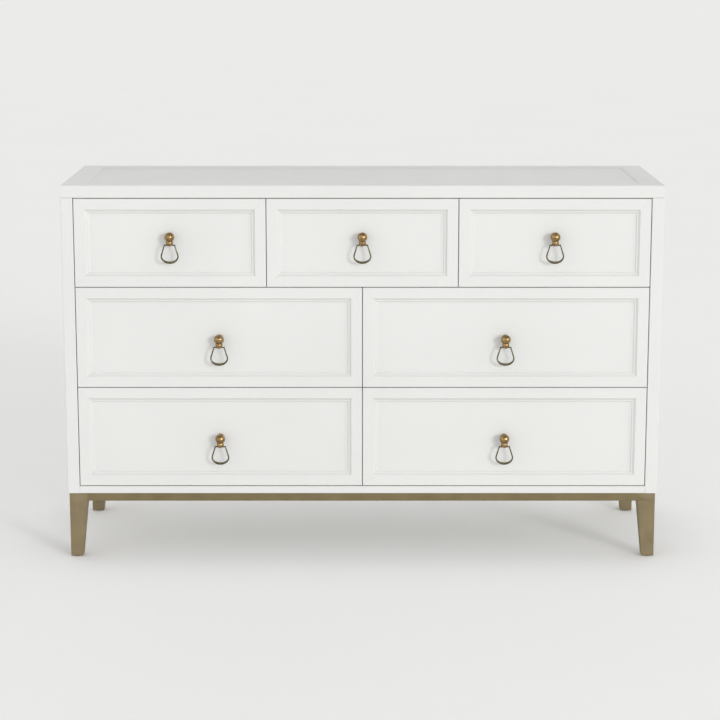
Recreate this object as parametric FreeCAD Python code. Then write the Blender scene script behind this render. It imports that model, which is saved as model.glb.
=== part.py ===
import FreeCAD, Part
import math
import os
from collections import namedtuple

# Seven-drawer dresser: a white frame-and-panel case on a brass leg frame, with
# telescopic drawer slides and a ring pull on every drawer.
# X runs to the right as one faces the drawers, Y from front to back, Z up.
# The origin is on the floor, in the middle of the dresser with its pulls.
# Sizes are in millimetres.

# Overall size
WIDTH = 1422.0              # across the case sides
DEPTH = 457.0               # case, front face to back edge
HEIGHT = 905.0              # floor to top

# Case boards
TOP_T = 30.0                # top slab
SIDE_T = 28.5               # case sides
BOTTOM_T = 17.7             # bottom board and the rail in front of it
BOTTOM_RAIL_D = 20.0        # front to back
INNER_T = 18.0              # dividers and cross rails
CROSS_RAIL_D = 60.0         # front to back
RAIL_BACK = 2.0             # front rails behind the drawer fronts
BACK_T = 6.0                # back panel
BACK_INSET = 6.0            # back panel in from the case's back edge
FIT = 0.2                   # play round a panel in its frame
EDGE_R = 2.0                # softened outer edges
SMALL_EDGE_R = 1.0

# Mitred border of the top and the sides, round an inset panel
BORDER_W = 54.0
BORDER_BEVEL_W = 5.0
BORDER_BEVEL_DROP = 3.0
INSET_PANEL_T = 12.0
LEDGE_W = 10.0              # what the inset panel rests on

# Drawer fronts
FRONT_GAP = 1.5             # between fronts, and from fronts to the case
TOP_FRONT_H = 210.3         # the lower rows share the rest of the height
FRONT_T = 20.0
FACE_W = 25.5               # flat face of the mitred frame
BEVEL_W = 5.0
BEVEL_DROP = 5.0
QUIRK_W = 2.5               # flat between the bevel and the cove
COVE_W = 6.5
COVE_DROP = 3.0
COVE_FOOT = 1.5             # how far out the cove's radius turns
COVE_R = 5.0
LIP_EDGE = 0.5              # thin end of the moulding on the panel
TONGUE_W = 8.5              # panel held behind the moulding
PANEL_T = 8.0

# Drawer boxes
BOX_T = 12.0                # sides, back and inner front
BOX_BACK_ROOM = 25.0        # box to back panel
BOX_BOTTOM_T = 6.0
BOTTOM_UP = 10.0            # groove above the box's lower edge
GROOVE = 6.0                # groove depth
RAIL_PLAY = 5.0             # box above the rail under it
BOX_DROP = 18.0             # box below the rail over it
TAIL_PITCH = 42.0           # largest spacing of the dovetails
TAIL_ANGLE = 8.0            # degrees
TAIL_PLAY = 0.1
TAIL_SHARE = 0.5            # of a pitch, the tail's width at its root

# Telescopic slides, one pair to a drawer
SLIDE_GAP = 13.0            # case wall to drawer box
SLIDE_H = 45.0              # outer channel
SLIDE_T = 1.2               # sheet
SLIDE_RISE = 60.0           # slide centre above the box's lower edge
BALL_GAP = 3.5              # between nested flanges, where the balls run
WEB_GAP = 1.4               # between nested webs and flanges
CHANNEL_PLAY = 0.4          # middle channel to the inner one's web
SLIDE_START = 4.0           # behind the drawer front
MIDDLE_SHORT = 5.0          # middle channel shorter at each end

# Ring pulls
TOP_PULL_UP = 15.5          # ball above the centre of a front in the top row
LOWER_PULL_UP = -2.5        # and in the lower rows
BALL_R = 11.7
BALL_OUT = 21.0             # ball centre from the panel
BEAD_R = 8.5
BALL_TO_BEAD = 13.4
PIN_DROP = 5.4              # ring's pin below the bead's centre
PLATE_R = 9.0
PLATE_T = 3.0
NECK_R = 4.5
PIN_R = 1.6
PIN_PLAY = 0.05
PIN_END = 10.2              # half the pin's clear length
RING_SHOULDER = 13.0        # half width at the pin
RING_HALF_W = 21.4
RING_BOWL_H = 18.0          # widest point to the bottom
RING_LENGTH = 44.5          # pin to the bottom
RING_SIDE_T = 3.3
RING_SHOULDER_T = 2.8       # at the pin
RING_BOTTOM_T = 5.8
RING_D = 3.6                # front to back
RING_EDGE_R = 1.2
PULL_SCREW_BITE = 10.0
PIN_BURIED = 1.0            # pin let into the ring at each end

# Brass leg frame
BASE_INSET = 3.0            # in from the case's faces
BAR_H = 19.7
BAR_D = 20.0
BAR_WALL = 1.5
CASE_BOTTOM = 159.1         # underside of the case above the floor
LEG_W = 42.4                # at the bar
FOOT_W = 29.3               # at the floor
LEG_WALL = 2.0
LEG_CAP_T = 6.0             # solid foot the glide screws into
LEG_EDGE_R = 0.8
GUSSET_W = 90.0
GUSSET_T = 3.0
GLIDE_R = 11.0
GLIDE_T = 2.0
GLIDE_STUD_R = 4.0
GLIDE_STUD_L = 16.0

# Fixings: head radius, head height, shank radius, shank length
Screw = namedtuple("Screw", "head_r head_h shank_r length")
PULL_SCREW = Screw(4.5, 2.5, 2.0, FRONT_T + BOX_T - BEVEL_DROP - COVE_DROP - LIP_EDGE + PULL_SCREW_BITE)
TOP_SCREW_BITE = 16.0
BACK_SCREW_BITE = 14.0
BASE_BOLT_BITE = 12.0
TOP_SCREW = Screw(4.0, 2.5, 2.0, INNER_T + TOP_SCREW_BITE)
BACK_SCREW = Screw(4.0, 2.0, 1.75, BACK_T + BACK_SCREW_BITE)
BASE_BOLT = Screw(5.5, 3.5, 3.0, GUSSET_T + BASE_BOLT_BITE)
HEAD_ROUND = 0.4            # of the head's height
HOLE_PLAY = 0.1
THROUGH = 1.0               # cutting tools run past a face
SCREW_FROM_END = 70.0       # first screw from the end of a rail

# Derived places
PANEL_SINK = BEVEL_DROP + COVE_DROP + LIP_EDGE      # panel face behind the front
MOULDING_W = BEVEL_W + QUIRK_W + COVE_W
PULL_PROJECTION = BALL_OUT + BALL_R - PANEL_SINK    # ball proud of the front
FRONT_Y = (PULL_PROJECTION - DEPTH) / 2
BACK_Y = FRONT_Y + DEPTH
BACK_PANEL_Y = BACK_Y - BACK_INSET - BACK_T
BOX_L = BACK_PANEL_Y - BOX_BACK_ROOM - FRONT_Y - FRONT_T    # front to back
RAIL_Y = FRONT_Y + FRONT_T + RAIL_BACK
CASE_TOP = HEIGHT - TOP_T
FLOOR_OF_CASE = CASE_BOTTOM + BOTTOM_T
INNER_X = WIDTH / 2 - SIDE_T
LOWER_FRONT_H = (CASE_TOP - FLOOR_OF_CASE - TOP_FRONT_H - 4 * FRONT_GAP) / 2
RAIL_OVERLAP = (INNER_T - FRONT_GAP) / 2            # rail behind each front's edge

# One drawer: its front's edges and the walls of its bay
Drawer = namedtuple("Drawer", "name x0 x1 z0 z1 wall0 wall1 pull_up")


def vec(x, y, z):
    return FreeCAD.Vector(x, y, z)


def block(x0, x1, y0, y1, z0, z1):
    """Box between two corners."""
    return Part.makeBox(x1 - x0, y1 - y0, z1 - z0, vec(x0, y0, z0))


def outline_face(corners):
    """Flat face in XY through corners (x, y) or (x, y, radius)."""
    corners = [(*c, 0.0)[:3] for c in corners]
    points = [vec(x, y, 0) for x, y, _ in corners]
    rounds = []
    for i, here in enumerate(points):
        back = (points[i - 1] - here).normalize()
        ahead = (points[(i + 1) % len(points)] - here).normalize()
        radius = corners[i][2]
        half = back.getAngle(ahead) / 2
        reach = radius / math.tan(half)
        inward = (back + ahead).normalize()
        middle = here + inward * (radius / math.sin(half) - radius) if radius else here
        rounds.append((here + back * reach, middle, here + ahead * reach, radius))
    edges = []
    for i, (start, middle, end, radius) in enumerate(rounds):
        if radius:
            edges.append(Part.Arc(start, middle, end).toShape())
        following = rounds[(i + 1) % len(rounds)][0]
        if end.distanceToPoint(following) > 1e-6:
            edges.append(Part.makeLine(end, following))
    return Part.Face(Part.Wire(edges))


def prism_x(corners, x0, x1):
    """Section in (y, z) drawn out along X."""
    face = outline_face(corners)
    face.rotate(vec(0, 0, 0), vec(1, 1, 1), 120)
    face.translate(vec(x0, 0, 0))
    return face.extrude(vec(x1 - x0, 0, 0))


def prism_y(corners, y0, y1):
    """Section in (x, z) drawn out along Y."""
    face = outline_face(corners)
    face.rotate(vec(0, 0, 0), vec(1, 0, 0), 90)
    face.translate(vec(0, y0, 0))
    return face.extrude(vec(0, y1 - y0, 0))


def save(name, solids):
    """Write one node, a group of separate closed solids."""
    for solid in solids:
        assert solid.isValid() and len(solid.Solids) == 1, name
    Part.makeCompound(solids).exportStep(f"parts/{name}.step")


def screw_at(screw, point, direction):
    """Pan-head screw whose head bears at the point, shank along the direction."""
    head = Part.makeCylinder(screw.head_r, screw.head_h, vec(0, 0, -screw.head_h))
    rim = [e for e in head.Edges if e.BoundBox.ZMax < -screw.head_h / 2]
    head = head.makeFillet(screw.head_h * HEAD_ROUND, rim)
    body = head.fuse(Part.makeCylinder(screw.shank_r, screw.length)).removeSplitter()
    body.Placement = FreeCAD.Placement(point, FreeCAD.Rotation(vec(0, 0, 1), direction))
    return body


def hole_at(screw, point, direction):
    """Tool that clears the shank of the same screw."""
    return Part.makeCylinder(screw.shank_r + HOLE_PLAY, screw.length + THROUGH, point, direction)


def drilled(solid, tools):
    """Cut the holes that reach this solid."""
    for tool in tools:
        if solid.BoundBox.intersect(tool.BoundBox):
            solid = solid.cut(tool)
    return solid.Solids[0]


def mitred_frame(section, reach, depth, length, height):
    """Four mitred members round a length by height rectangle, show face to -Y.

    The section's corners are (depth behind the face, distance in from the edge).
    """
    members = []
    for angle, span, rise in ((0, length, height), (90, height, length),
                              (180, length, height), (270, height, length)):
        bar = prism_x(section, -span / 2, span / 2)
        mitre = prism_y([(-span / 2, 0), (span / 2, 0), (span / 2 - reach, reach),
                         (reach - span / 2, reach)], -1, depth + 1)
        member = bar.common(mitre).Solids[0]
        member.translate(vec(0, 0, -rise / 2))
        member.rotate(vec(0, 0, 0), vec(0, 1, 0), angle)
        members.append(member)
    return members


def bordered_slab(length, height, thickness):
    """Mitred border and inset panel, show face to -Y at the origin."""
    seat = BORDER_BEVEL_DROP + INSET_PANEL_T
    reach = BORDER_W + LEDGE_W
    section = [(0, 0, EDGE_R), (thickness, 0, EDGE_R), (thickness, reach), (seat, reach),
               (seat, BORDER_W), (BORDER_BEVEL_DROP, BORDER_W), (0, BORDER_W - BORDER_BEVEL_W)]
    border = mitred_frame(section, reach, thickness, length, height)
    half_l = length / 2 - BORDER_W - FIT
    half_h = height / 2 - BORDER_W - FIT
    panel = block(-half_l, half_l, BORDER_BEVEL_DROP, seat, -half_h, half_h)
    return border, panel


def laid_flat(solids):
    """Turn a slab face up and put it on the case."""
    for solid in solids:
        solid.rotate(vec(0, 0, 0), vec(1, 0, 0), -90)
        solid.translate(vec(0, (FRONT_Y + BACK_Y) / 2, HEIGHT))
    return solids


def case_side(sign):
    """Left (-1) or right (+1) side of the case, on edge between base and top."""
    border, panel = bordered_slab(DEPTH, CASE_TOP - CASE_BOTTOM, SIDE_T)
    solids = border + [panel]
    for solid in solids:
        solid.rotate(vec(0, 0, 0), vec(0, 0, 1), sign * 90)
        solid.translate(vec(sign * WIDTH / 2, (FRONT_Y + BACK_Y) / 2, (CASE_TOP + CASE_BOTTOM) / 2))
    return solids


def drawers():
    """The seven drawers, bottom row first."""
    rows = (("bottom", ("left", "right"), LOWER_FRONT_H, LOWER_PULL_UP),
            ("middle", ("left", "right"), LOWER_FRONT_H, LOWER_PULL_UP),
            ("top", ("left", "middle", "right"), TOP_FRONT_H, TOP_PULL_UP))
    found = []
    z0 = FLOOR_OF_CASE + FRONT_GAP
    for row, places, height, pull_up in rows:
        count = len(places)
        width = (2 * INNER_X - (count + 1) * FRONT_GAP) / count
        for i, place in enumerate(places):
            x0 = -INNER_X + FRONT_GAP + i * (width + FRONT_GAP)
            x1 = x0 + width
            wall0 = -INNER_X if i == 0 else x0 - FRONT_GAP / 2 + INNER_T / 2
            wall1 = INNER_X if i == count - 1 else x1 + FRONT_GAP / 2 - INNER_T / 2
            found.append(Drawer(f"{row}_{place}", x0, x1, z0, z0 + height, wall0, wall1, pull_up))
        z0 += height + FRONT_GAP
    return found


def row_seams():
    """Heights of the two gaps between the rows."""
    lower = FLOOR_OF_CASE + FRONT_GAP + LOWER_FRONT_H + FRONT_GAP / 2
    return lower, lower + LOWER_FRONT_H + FRONT_GAP


def cross_rails():
    """Rails between the rows and under the top, at the front and the back."""
    lower, upper = row_seams()
    half = INNER_T / 2
    rails = []
    for y0, y1 in ((RAIL_Y, RAIL_Y + CROSS_RAIL_D), (BACK_PANEL_Y - CROSS_RAIL_D, BACK_PANEL_Y)):
        rails.append(block(-INNER_X, INNER_X, y0, y1, CASE_TOP - INNER_T, CASE_TOP))
        rails.append(block(-INNER_X, INNER_X, y0, y1, upper - half, upper + half))
        rails.append(block(-INNER_X, -half, y0, y1, lower - half, lower + half))
        rails.append(block(half, INNER_X, y0, y1, lower - half, lower + half))
    return rails


def dividers(bays):
    """Upright boards between the drawers: one below, two in the top row."""
    _, upper = row_seams()
    half = INNER_T / 2
    boards = [block(-half, half, RAIL_Y, BACK_PANEL_Y, FLOOR_OF_CASE, upper - half)]
    for bay in bays:
        if bay.name in ("top_left", "top_middle"):
            boards.append(block(bay.wall1, bay.wall1 + INNER_T, RAIL_Y, BACK_PANEL_Y,
                                upper + half, CASE_TOP - INNER_T))
    return boards


def bottom_rail():
    """Rail under the lowest drawers, flush with their fronts."""
    section = [(FRONT_Y, CASE_BOTTOM, SMALL_EDGE_R), (FRONT_Y + BOTTOM_RAIL_D, CASE_BOTTOM),
               (FRONT_Y + BOTTOM_RAIL_D, FLOOR_OF_CASE), (FRONT_Y, FLOOR_OF_CASE, EDGE_R)]
    return prism_x(section, -INNER_X, INNER_X)


def front_section():
    """Section of the drawer front's frame, with its moulded inner edge."""
    cove_end = FACE_W + MOULDING_W
    cove_start = cove_end - COVE_W
    cove_floor = BEVEL_DROP + COVE_DROP
    tongue = cove_end - TONGUE_W
    return [(0, 0, EDGE_R), (FRONT_T, 0), (FRONT_T, tongue), (PANEL_SINK, tongue), (PANEL_SINK, cove_end),
            (cove_floor, cove_end), (cove_floor, cove_start + COVE_FOOT, COVE_R), (BEVEL_DROP, cove_start),
            (BEVEL_DROP, FACE_W + BEVEL_W), (0, FACE_W)]


def pull_place(drawer):
    """Centre of the ball on this drawer."""
    x = (drawer.x0 + drawer.x1) / 2
    z = (drawer.z0 + drawer.z1) / 2 + drawer.pull_up
    return vec(x, FRONT_Y + PANEL_SINK - BALL_OUT, z)


def pull_screw_seat(drawer):
    """Point on the inner front under the head of the pull's screw."""
    ball = pull_place(drawer)
    return vec(ball.x, FRONT_Y + FRONT_T + BOX_T, ball.z)


def drawer_front(drawer):
    """Mitred frame with its flat panel let in from behind."""
    reach = FACE_W + MOULDING_W
    width = drawer.x1 - drawer.x0
    height = drawer.z1 - drawer.z0
    frame = mitred_frame(front_section(), reach, FRONT_T, width, height)
    inset = reach - TONGUE_W + FIT
    panel = block(inset - width / 2, width / 2 - inset, PANEL_SINK, PANEL_SINK + PANEL_T,
                  inset - height / 2, height / 2 - inset)
    solids = frame + [panel]
    for solid in solids:
        solid.translate(vec((drawer.x0 + drawer.x1) / 2, FRONT_Y, (drawer.z0 + drawer.z1) / 2))
    hole = hole_at(PULL_SCREW, pull_screw_seat(drawer), vec(0, -1, 0))
    return [drilled(solid, [hole]) for solid in solids]


def box_extent(drawer):
    """Outer faces of the drawer box: x0, x1, y0, y1, z0, z1."""
    front = FRONT_Y + FRONT_T
    return (drawer.wall0 + SLIDE_GAP, drawer.wall1 - SLIDE_GAP, front, front + BOX_L,
            drawer.z0 + RAIL_OVERLAP + RAIL_PLAY, drawer.z1 - RAIL_OVERLAP - BOX_DROP)


def dovetails(x0, x1, root_y, tip_y, z0, z1, play):
    """Row of tails that widen from root to tip, through one corner of the box."""
    count = math.ceil((z1 - z0) / TAIL_PITCH)
    pitch = (z1 - z0) / count
    flare = abs(tip_y - root_y) * math.tan(math.radians(TAIL_ANGLE))
    tails = []
    for i in range(count):
        middle = z0 + (i + 0.5) * pitch
        root = pitch * TAIL_SHARE / 2 + play
        tip = root + flare
        tails.append(prism_x([(root_y, middle - root), (tip_y, middle - tip), (tip_y, middle + tip),
                              (root_y, middle + root)], x0, x1))
    return tails


def drawer_box(drawer):
    """Dovetailed box: inner front, back, two sides and a grooved-in bottom."""
    x0, x1, y0, y1, z0, z1 = box_extent(drawer)
    inner_y0 = y0 + BOX_T
    inner_y1 = y1 - BOX_T
    front = block(x0, x1, y0, inner_y0, z0, z1)
    back = block(x0, x1, inner_y1, y1, z0, z1)
    sides = []
    for side_x0, side_x1 in ((x0, x0 + BOX_T), (x1 - BOX_T, x1)):
        side = block(side_x0, side_x1, inner_y0, inner_y1, z0, z1)
        for root_y, tip_y in ((inner_y0, y0), (inner_y1, y1)):
            side = side.multiFuse(dovetails(side_x0, side_x1, root_y, tip_y, z0, z1, 0)).removeSplitter()
        sides.append(side)
        front = front.cut(Part.makeCompound(dovetails(side_x0, side_x1, inner_y0, y0, z0, z1, TAIL_PLAY)))
        back = back.cut(Part.makeCompound(dovetails(side_x0, side_x1, inner_y1, y1, z0, z1, TAIL_PLAY)))
    floor_z = z0 + BOTTOM_UP
    tongue = GROOVE - FIT
    floor = block(x0 + BOX_T - tongue, x1 - BOX_T + tongue, inner_y0 - tongue, inner_y1 + tongue,
                  floor_z, floor_z + BOX_BOTTOM_T)
    groove = block(x0 + BOX_T - GROOVE, x1 - BOX_T + GROOVE, inner_y0 - GROOVE, inner_y1 + GROOVE,
                   floor_z - FIT, floor_z + BOX_BOTTOM_T + FIT)
    hole = hole_at(PULL_SCREW, pull_screw_seat(drawer), vec(0, -1, 0))
    boards = [board.cut(groove).Solids[0] for board in (front, back, *sides)]
    return [drilled(board, [hole]) for board in boards] + [floor]


def channel(web, tip, half_height, y0, y1):
    """Rolled channel: web at one depth off the wall, flanges to another."""
    inner_web = web + math.copysign(SLIDE_T, tip - web)
    inner_half = half_height - SLIDE_T
    face = [(web, -half_height), (tip, -half_height), (tip, -inner_half), (inner_web, -inner_half),
            (inner_web, inner_half), (tip, inner_half), (tip, half_height), (web, half_height)]
    return prism_y(face, y0, y1)


def slide_channels(drawer):
    """Outer, middle and inner channels of the drawer's two slides."""
    outer_half = SLIDE_H / 2
    middle_half = outer_half - SLIDE_T - BALL_GAP
    inner_half = middle_half - SLIDE_T - BALL_GAP
    middle_web = SLIDE_T + WEB_GAP
    y0 = FRONT_Y + FRONT_T + SLIDE_START
    y1 = y0 + BOX_L
    z = box_extent(drawer)[4] + SLIDE_RISE
    sections = ((0, SLIDE_GAP - BALL_GAP, outer_half, 0),
                (middle_web, SLIDE_GAP - SLIDE_T - CHANNEL_PLAY, middle_half, MIDDLE_SHORT),
                (SLIDE_GAP, middle_web + SLIDE_T + WEB_GAP, inner_half, 0))
    members = []
    for web, tip, half_height, short in sections:
        left = channel(web, tip, half_height, y0 + short, y1 - short)
        right = left.mirror(vec(0, 0, 0), vec(1, 0, 0))
        left.translate(vec(drawer.wall0, 0, z))
        right.translate(vec(drawer.wall1, 0, z))
        members.append([left, right])
    return members


def pull_post(drawer):
    """Ball and bead on a neck, bored for the ring's pin and the screw."""
    back_y = BALL_OUT
    ball = Part.makeSphere(BALL_R)
    bead = Part.makeSphere(BEAD_R, vec(0, 0, -BALL_TO_BEAD))
    neck = Part.makeCylinder(NECK_R, back_y, vec(0, 0, 0), vec(0, 1, 0))
    plate = Part.makeCylinder(PLATE_R, PLATE_T, vec(0, back_y - PLATE_T, 0), vec(0, 1, 0))
    post = ball.multiFuse([bead, neck, plate])
    pin_z = -BALL_TO_BEAD - PIN_DROP
    bore = Part.makeCylinder(PIN_R + PIN_PLAY, 2 * BEAD_R, vec(-BEAD_R, 0, pin_z), vec(1, 0, 0))
    thread = Part.makeCylinder(PULL_SCREW.shank_r + HOLE_PLAY, PULL_SCREW_BITE + THROUGH,
                               vec(0, back_y, 0), vec(0, -1, 0))
    post = post.cut(bore).cut(thread).Solids[0]
    post.translate(pull_place(drawer))
    return [post, screw_at(PULL_SCREW, pull_screw_seat(drawer), vec(0, -1, 0))]


def teardrop(shoulder, half_w, half_h, centre_z, top_z, depth):
    """Straight shoulders running tangent into an elliptic bowl, drawn out along Y."""
    across = shoulder / half_w
    up = (top_z - centre_z) / half_h
    touch = math.atan2(up, across) - math.acos(1 / math.hypot(across, up))
    right = vec(half_w * math.cos(touch), centre_z + half_h * math.sin(touch), 0)
    left = vec(-right.x, right.y, 0)
    ellipse = Part.Ellipse(vec(0, centre_z, 0), half_w, half_h)
    bowl = Part.ArcOfEllipse(ellipse, math.pi - touch, 2 * math.pi + touch).toShape()
    lines = Part.makePolygon([right, vec(shoulder, top_z, 0), vec(-shoulder, top_z, 0), left]).Edges
    face = Part.Face(Part.Wire([bowl, *lines]))
    face.rotate(vec(0, 0, 0), vec(1, 0, 0), 90)
    face.translate(vec(0, -depth / 2, 0))
    return face.extrude(vec(0, depth, 0))


def pull_ring(drawer):
    """Teardrop ring, thickest at the bottom, hung on its own pin."""
    bowl_z = RING_BOWL_H - RING_LENGTH
    inner_h = RING_BOWL_H - RING_BOTTOM_T
    outer = teardrop(RING_SHOULDER, RING_HALF_W, RING_BOWL_H, bowl_z, PIN_R, RING_D)
    inner = teardrop(RING_SHOULDER - RING_SHOULDER_T, RING_HALF_W - RING_SIDE_T, inner_h, bowl_z, -PIN_R,
                     RING_D)
    ring = outer.cut(inner)
    rims = [e for e in ring.Edges if abs(e.BoundBox.YMax - e.BoundBox.YMin) < 1e-3]
    ring = ring.makeFillet(RING_EDGE_R, rims)
    ring = ring.cut(block(-PIN_END, PIN_END, -RING_D, RING_D, -2 * PIN_R, 2 * PIN_R))
    pin_half = PIN_END + PIN_BURIED
    pin = Part.makeCylinder(PIN_R, 2 * pin_half, vec(-pin_half, 0, 0), vec(1, 0, 0))
    ring = ring.fuse(pin).Solids[0]
    ring.translate(pull_place(drawer) - vec(0, 0, BALL_TO_BEAD + PIN_DROP))
    return ring


def corner_block(inset, foot_z):
    """Leg's outline, inset all round: plumb outside, tapered on the two inner faces."""
    taper_z = CASE_BOTTOM - BAR_H
    foot = FOOT_W - inset
    top = LEG_W - inset
    face = [(inset, foot_z), (foot, foot_z), (top, taper_z), (top, CASE_BOTTOM), (inset, CASE_BOTTOM)]
    return prism_y(face, inset, top).common(prism_x(face, inset, top)).Solids[0]


def leg_solids():
    """Hollow leg and its gusset, at a corner whose outer faces are X=0 and Y=0."""
    leg = corner_block(0, GLIDE_T)
    outer_corner = [e for e in leg.Edges if e.BoundBox.XMax < 1e-3 and e.BoundBox.YMax < 1e-3]
    leg = leg.makeFillet(LEG_EDGE_R, outer_corner)
    leg = leg.cut(corner_block(LEG_WALL, GLIDE_T + LEG_CAP_T))
    foot = FOOT_W / 2
    stud_hole_l = GLIDE_T + LEG_CAP_T + THROUGH
    leg = leg.cut(Part.makeCylinder(GLIDE_STUD_R + HOLE_PLAY, stud_hole_l, vec(foot, foot, 0)))
    gusset = block(BAR_D, GUSSET_W, BAR_D, GUSSET_W, CASE_BOTTOM - GUSSET_T, CASE_BOTTOM)
    gusset = gusset.cut(block(0, LEG_W, 0, LEG_W, 0, HEIGHT))
    return [leg.Solids[0], gusset.Solids[0]]


def glide():
    """Round pad and stud under a leg, in the same corner."""
    foot = FOOT_W / 2
    pad = Part.makeCylinder(GLIDE_R, GLIDE_T, vec(foot, foot, 0))
    stud = Part.makeCylinder(GLIDE_STUD_R, GLIDE_STUD_L, vec(foot, foot, GLIDE_T))
    return pad.fuse(stud).removeSplitter()


def bolt_points():
    """Bolts through one gusset, in the same corner."""
    near = (BAR_D + LEG_W) / 2
    far = (LEG_W + GUSSET_W) / 2
    return [vec(far, near, CASE_BOTTOM - GUSSET_T), vec(near, far, CASE_BOTTOM - GUSSET_T)]


def at_corner(solid, x_sign, y_sign):
    """Copy of a solid from the pattern corner to one corner of the base."""
    placed = solid.copy()
    if x_sign > 0:
        placed = placed.mirror(vec(0, 0, 0), vec(1, 0, 0))
    if y_sign > 0:
        placed = placed.mirror(vec(0, 0, 0), vec(0, 1, 0))
    corner_x = x_sign * (WIDTH / 2 - BASE_INSET)
    corner_y = BACK_Y - BASE_INSET if y_sign > 0 else FRONT_Y + BASE_INSET
    placed.translate(vec(corner_x, corner_y, 0))
    return placed


def tube(x0, x1, y0, y1, wall, along):
    """Square tube under the case, open at the ends that meet the legs."""
    z0 = CASE_BOTTOM - BAR_H
    bar = block(x0, x1, y0, y1, z0, CASE_BOTTOM)
    if along == "x":
        return bar.cut(block(x0, x1, y0 + wall, y1 - wall, z0 + wall, CASE_BOTTOM - wall))
    return bar.cut(block(x0 + wall, x1 - wall, y0, y1, z0 + wall, CASE_BOTTOM - wall))


def base_bars():
    """Front and back bars, then left and right bars, between the legs."""
    outer_x = WIDTH / 2 - BASE_INSET
    front = FRONT_Y + BASE_INSET
    back = BACK_Y - BASE_INSET
    long_x = outer_x - LEG_W
    long_bars = [tube(-long_x, long_x, front, front + BAR_D, BAR_WALL, "x"),
                 tube(-long_x, long_x, back - BAR_D, back, BAR_WALL, "x")]
    short_bars = [tube(-outer_x, BAR_D - outer_x, front + LEG_W, back - LEG_W, BAR_WALL, "y"),
                  tube(outer_x - BAR_D, outer_x, front + LEG_W, back - LEG_W, BAR_WALL, "y")]
    return long_bars, short_bars


def case_fixings():
    """Seats and directions of every screw and bolt in the case."""
    _, upper = row_seams()
    fixings = []
    span = INNER_X - SCREW_FROM_END
    for x in (-span, 0, span):
        for y in (RAIL_Y + CROSS_RAIL_D / 2, BACK_PANEL_Y - CROSS_RAIL_D / 2):
            fixings.append((TOP_SCREW, vec(x, y, CASE_TOP - INNER_T), vec(0, 0, 1)))
    for x in (-span, -span / 2, 0, span / 2, span):
        for z in (CASE_TOP - INNER_T / 2, upper, CASE_BOTTOM + BOTTOM_T / 2):
            fixings.append((BACK_SCREW, vec(x, BACK_PANEL_Y + BACK_T, z), vec(0, -1, 0)))
    for x_sign in (-1, 1):
        for y_sign in (-1, 1):
            for point in bolt_points():
                seat = at_corner(Part.Vertex(point), x_sign, y_sign).Point
                fixings.append((BASE_BOLT, seat, vec(0, 0, 1)))
    return fixings


def build_case(bays, holes):
    """Case boards, every one drilled where a fixing goes through it."""
    border, panel = bordered_slab(WIDTH, DEPTH, TOP_T)
    back = block(-INNER_X + FIT, INNER_X - FIT, BACK_PANEL_Y, BACK_PANEL_Y + BACK_T, CASE_BOTTOM,
                 CASE_TOP - FIT)
    bottom = block(-INNER_X, INNER_X, FRONT_Y + BOTTOM_RAIL_D, BACK_PANEL_Y, CASE_BOTTOM, FLOOR_OF_CASE)
    boards = {
        "top_border": laid_flat(border),
        "top_panel": laid_flat([panel]),
        "side_left": case_side(-1),
        "side_right": case_side(1),
        "back_panel": [back],
        "bottom_board": [bottom],
        "bottom_rail": [bottom_rail()],
        "cross_rails": cross_rails(),
        "dividers": dividers(bays),
    }
    for name, solids in boards.items():
        save(name, [drilled(solid, holes) for solid in solids])


def build_base(holes):
    """Brass bars and legs, and the glides under them."""
    long_bars, short_bars = base_bars()
    save("base_bars_long", long_bars)
    save("base_bars_short", short_bars)
    glides = []
    for y_sign, y_name in ((-1, "front"), (1, "back")):
        for x_sign, x_name in ((-1, "left"), (1, "right")):
            solids = [at_corner(solid, x_sign, y_sign) for solid in leg_solids()]
            save(f"leg_{y_name}_{x_name}", [drilled(solid, holes) for solid in solids])
            glides.append(at_corner(glide(), x_sign, y_sign))
    save("floor_glides", glides)


def build_drawer(drawer):
    """Everything that opens with one drawer; returns the fixed slide channels."""
    outer, middle, inner = slide_channels(drawer)
    save(f"drawer_{drawer.name}_front", drawer_front(drawer))
    save(f"drawer_{drawer.name}_box", drawer_box(drawer))
    save(f"drawer_{drawer.name}_runners", inner)
    save(f"slides_{drawer.name}_middle", middle)
    save(f"pull_{drawer.name}_post", pull_post(drawer))
    save(f"pull_{drawer.name}_ring", [pull_ring(drawer)])
    return outer


def main():
    os.makedirs("parts", exist_ok=True)
    bays = drawers()
    fixings = case_fixings()
    holes = [hole_at(*fixing) for fixing in fixings]
    build_case(bays, holes)
    build_base(holes)
    save("case_screws", [screw_at(*fixing) for fixing in fixings])
    fixed_channels = []
    for drawer in bays:
        fixed_channels += build_drawer(drawer)
    save("slides_case_channels", fixed_channels)


if __name__ == "__main__":
    main()
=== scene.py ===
"""Visual model of a seven-drawer dresser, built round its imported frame.

A white lacquered frame-and-panel case with moulded drawer fronts, antique brass
ring pulls, a brushed brass leg frame, and dovetailed birch drawer boxes on
telescopic steel slides. Lengths are in metres; X runs to the right as one faces
the drawers, Y from front to back and Z up.
"""

import logging
import math
from contextlib import contextmanager
from dataclasses import dataclass, field
from enum import Enum
from typing import Any, Callable, Iterator, Sequence

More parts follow.
